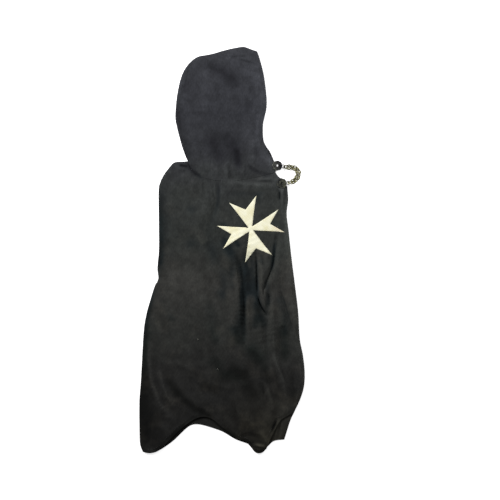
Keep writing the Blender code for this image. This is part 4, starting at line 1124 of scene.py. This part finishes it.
# Round medallions of cast brass, a rosette of wire petals on a pierced plate
medallions = {
    "radius": 17.3 * mm, "scallop": 0.035, "plateHeight": 1.3 * mm,
    "profile": ((0.9, -1.1), (0.97, -0.5), (0.98, 0.0), (0.92, 0.5), (0.86, 0.1), (0.6, 0.25),
                (0.42, 0.6)),  # shares of the radius, mm from the plate's middle
    "opening": (2.7 * mm, 4.4 * mm), "openingReach": 0.3,  # how far out its long shape shows
    "petals": 8, "petalRadius": 3.4 * mm, "petalWire": 0.55 * mm, "petalPlace": 0.62,
    "petalStretch": (1.35, 0.86, 1, 1), "petalHeight": 0.55 * mm,
    "rimPlace": 0.9, "rimWire": 0.75 * mm, "rimHeight": 0.4 * mm,
    "collarWire": 0.7 * mm, "collarHeight": 0.9 * mm, "collarStretch": (1, 1.45, 1, 1),
    "bead": 0.9 * mm, "beadHeight": 0.7 * mm, "beadWave": 0.03,
    "lugRadius": 5.4 * mm, "lugWire": 1.2 * mm,
    "places": (("castMedallionUpper", "medallion_upper", (304, -3), -8,
                "blackenedCastBrass"),
               ("castMedallionLower", "medallion_lower", (319, -63), 4,
                "oxidisedCastBrass")),
}


def spunRing(bm, radius, wire, segments, sides, gap=0.0, flatten=(1, 1, 1)):
    # a wire ring in its own XY plane; gap leaves a butted joint open
    section = bmesh.ops.create_circle(bm, segments=sides, radius=wire)["verts"]
    bmesh.ops.scale(bm, verts=section, vec=flatten)
    bmesh.ops.rotate(bm, verts=section, matrix=Matrix.Rotation(math.pi / 2, 3, "X"))
    bmesh.ops.translate(bm, verts=section, vec=(radius, 0, 0))
    edges = list({edge for vert in section for edge in vert.link_edges})
    if gap:
        spun = [bmesh.ops.contextual_create(bm, geom=edges)["faces"][0]]
    else:
        spun = section + edges
    bmesh.ops.spin(bm, geom=spun, axis=(0, 0, 1), cent=(0, 0, 0), angle=math.tau - gap,
                   steps=segments, use_merge=not gap)


def ringMesh(radius, wire, segments, sides):
    bm = bmesh.new()
    spunRing(bm, radius, wire, segments, sides)
    bmesh.ops.recalc_face_normals(bm, faces=bm.faces[:])
    return asMesh(bm, "ring")


def medallionMesh(look):
    radius = look["radius"]
    bm = bmesh.new()
    hole = look["opening"][0] / radius
    reach = look["openingReach"]
    tall = (look["opening"][1] / look["opening"][0] - 1) / (1 - hole / reach)
    profile = ((hole, -1.1), *look["profile"], (hole + 0.05, 0.9), (hole, 0.4))
    ring = [bm.verts.new((share * radius, 0, z * mm)) for share, z in profile]
    for a, b in zip(ring, ring[1:] + ring[:1]):
        bm.edges.new((a, b))
    bmesh.ops.spin(bm, geom=bm.verts[:] + bm.edges[:], axis=(0, 0, 1), cent=(0, 0, 0),
                   angle=math.tau, steps=96, use_merge=True)
    for vert in bm.verts:
        angle = math.atan2(vert.co.y, vert.co.x)
        share = vert.co.xy.length / radius
        grow = 1 + look["scallop"] * share**2 * math.cos(look["petals"] * angle)
        vert.co.x *= grow
        vert.co.y *= grow * (1 + tall * max(0.0, 1 - share / reach))
    bmesh.ops.recalc_face_normals(bm, faces=bm.faces[:])
    petal = ringMesh(look["petalRadius"], look["petalWire"], 28, 8)
    petalMove = Matrix.Translation((look["petalPlace"] * radius, 0, look["petalHeight"]))
    for index in range(look["petals"]):
        turn = Matrix.Rotation(math.tau * index / look["petals"], 4, "Z")
        addCopy(bm, petal, turn @ petalMove @ Matrix.Diagonal(look["petalStretch"]))
    rim = ringMesh(look["rimPlace"] * radius, look["rimWire"], 96, 8)
    addCopy(bm, rim, Matrix.Translation((0, 0, look["rimHeight"])))
    collar = ringMesh(look["opening"][0] + look["collarWire"], look["collarWire"], 40, 8)
    addCopy(bm, collar, Matrix.Translation((0, 0, look["collarHeight"]))
            @ Matrix.Diagonal(look["collarStretch"]))
    addCopy(bm, ringMesh(look["lugRadius"], look["lugWire"], 40, 12),
            Matrix.Translation((radius + 0.6 * look["lugRadius"], 0, 0)))
    bead = ballMesh("bead", 2, [2 * look["bead"]] * 3)
    for index in range(3 * look["petals"]):
        angle = math.tau * index / (3 * look["petals"])
        wave = 1 + look["beadWave"] * math.cos(look["petals"] * angle)
        reach = look["rimPlace"] * radius * wave
        addCopy(bm, bead, Matrix.Translation((reach * math.cos(angle), reach * math.sin(angle),
                                              look["beadHeight"])))
    return bm


for name, node, where, turn, finish in medallions["places"]:
    spot = nape + np.array(where) * mm
    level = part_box(node)[0].z + medallions["plateHeight"]
    bm = medallionMesh(medallions)
    bmesh.ops.transform(bm, verts=bm.verts[:], matrix=Matrix.Translation((*spot, level))
                        @ Matrix.Rotation(math.radians(turn), 4, "Z"))
    addPiece(name, bm, brasses[finish], (node,))
print("medallions")

# Each link keeps the place and tilt of its solid: the ring's plane is read from it
chain = {"links": 11, "wire": 1.4 * mm, "segments": 44, "sides": 12, "joint": 0.06,
         "roll": 2.4,  # how far on, in radians, each link's joint lies
         "hammered": (1.36, 0.86, 1),  # wider across the ring than it is thick
         "flank": 0.38}  # how much heavier a link is at its sides than at its ends
for index in range(1, chain["links"] + 1):
    node = f"link_{index:02d}"
    points = np.array([vert.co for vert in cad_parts[node].data.vertices])
    low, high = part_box(node)
    centre = np.array((low + high) / 2)
    axes = np.linalg.eigh(np.cov((points - centre).T))[1]
    across = Vector(axes[:, 0])
    heading = Vector(axes[:, 2])
    reach = np.linalg.norm(points - centre, axis=1).max() - chain["wire"]
    turn = Matrix((heading, across.cross(heading), across)).transposed().to_4x4()
    bm = bmesh.new()
    spunRing(bm, reach, chain["wire"], chain["segments"], chain["sides"], chain["joint"],
             chain["hammered"])
    bmesh.ops.rotate(bm, verts=bm.verts[:], matrix=Matrix.Rotation(index * chain["roll"], 3, "Z"))
    for vert in bm.verts:
        out = vert.co.xy.length
        fuller = reach + (out - reach) * (1 + chain["flank"] * (vert.co.y / out)**2)
        vert.co.xy *= fuller / out
    bmesh.ops.recalc_face_normals(bm, faces=bm.faces[:])
    bmesh.ops.transform(bm, verts=bm.verts[:], matrix=Matrix.Translation(centre) @ turn)
    addPiece(f"brassLink{index:02d}", bm, brasses["antiqueBrassWire"], (node,))
print("chain")

# White light-table floor, two soft lamps low over the hood end, an even white room
studio = {"floor": "#f6f6f6", "glow": 0.6, "room": 0.3, "lampSize": 0.6, "lampAim": (0.0, 0.1, 0.0),
          "lamps": (("softboxLeft", 55, (-1.45, 1.0, 0.95)), ("softboxRight", 22, (1.45, 1.0, 0.95))),
          "cameraHeight": 3.2, "frameWidth": 1.7, "frameCentre": (0.095, 0.0)}
bm = bmesh.new()
bmesh.ops.create_grid(bm, x_segments=1, y_segments=1, size=4)
floor = addObject("floor", asMesh(bm, "floor"))
made, tree, shader = newMaterial("whitePaper")
setNode(shader, {"Base Color": linear(studio["floor"]), "Roughness": 0.9,
                 "Emission Color": (1, 1, 1, 1), "Emission Strength": studio["glow"]})
floor.data.materials.append(made)

room = bpy.data.worlds.new("room")
room.use_nodes = True
setNode(room.node_tree.nodes["Background"], {0: (1, 1, 1, 1), 1: studio["room"]})
bpy.context.scene.world = room

for name, power, place in studio["lamps"]:
    lampData = bpy.data.lights.new(name, "AREA")
    lampData.energy = power
    lampData.size = studio["lampSize"]
    lamp = addObject(name, lampData)
    lamp.location = place
    aim = Vector(studio["lampAim"]) - lamp.location
    lamp.rotation_euler = aim.to_track_quat("-Z", "Y").to_euler()

cameraData = bpy.data.cameras.new("camera")
cameraData.angle = 2 * math.atan(studio["frameWidth"] / 2 / studio["cameraHeight"])
camera = addObject("camera", cameraData)
camera.location = (*studio["frameCentre"], studio["cameraHeight"])
bpy.context.scene.camera = camera
bpy.context.scene.view_settings.view_transform = "Standard"
print("studio")
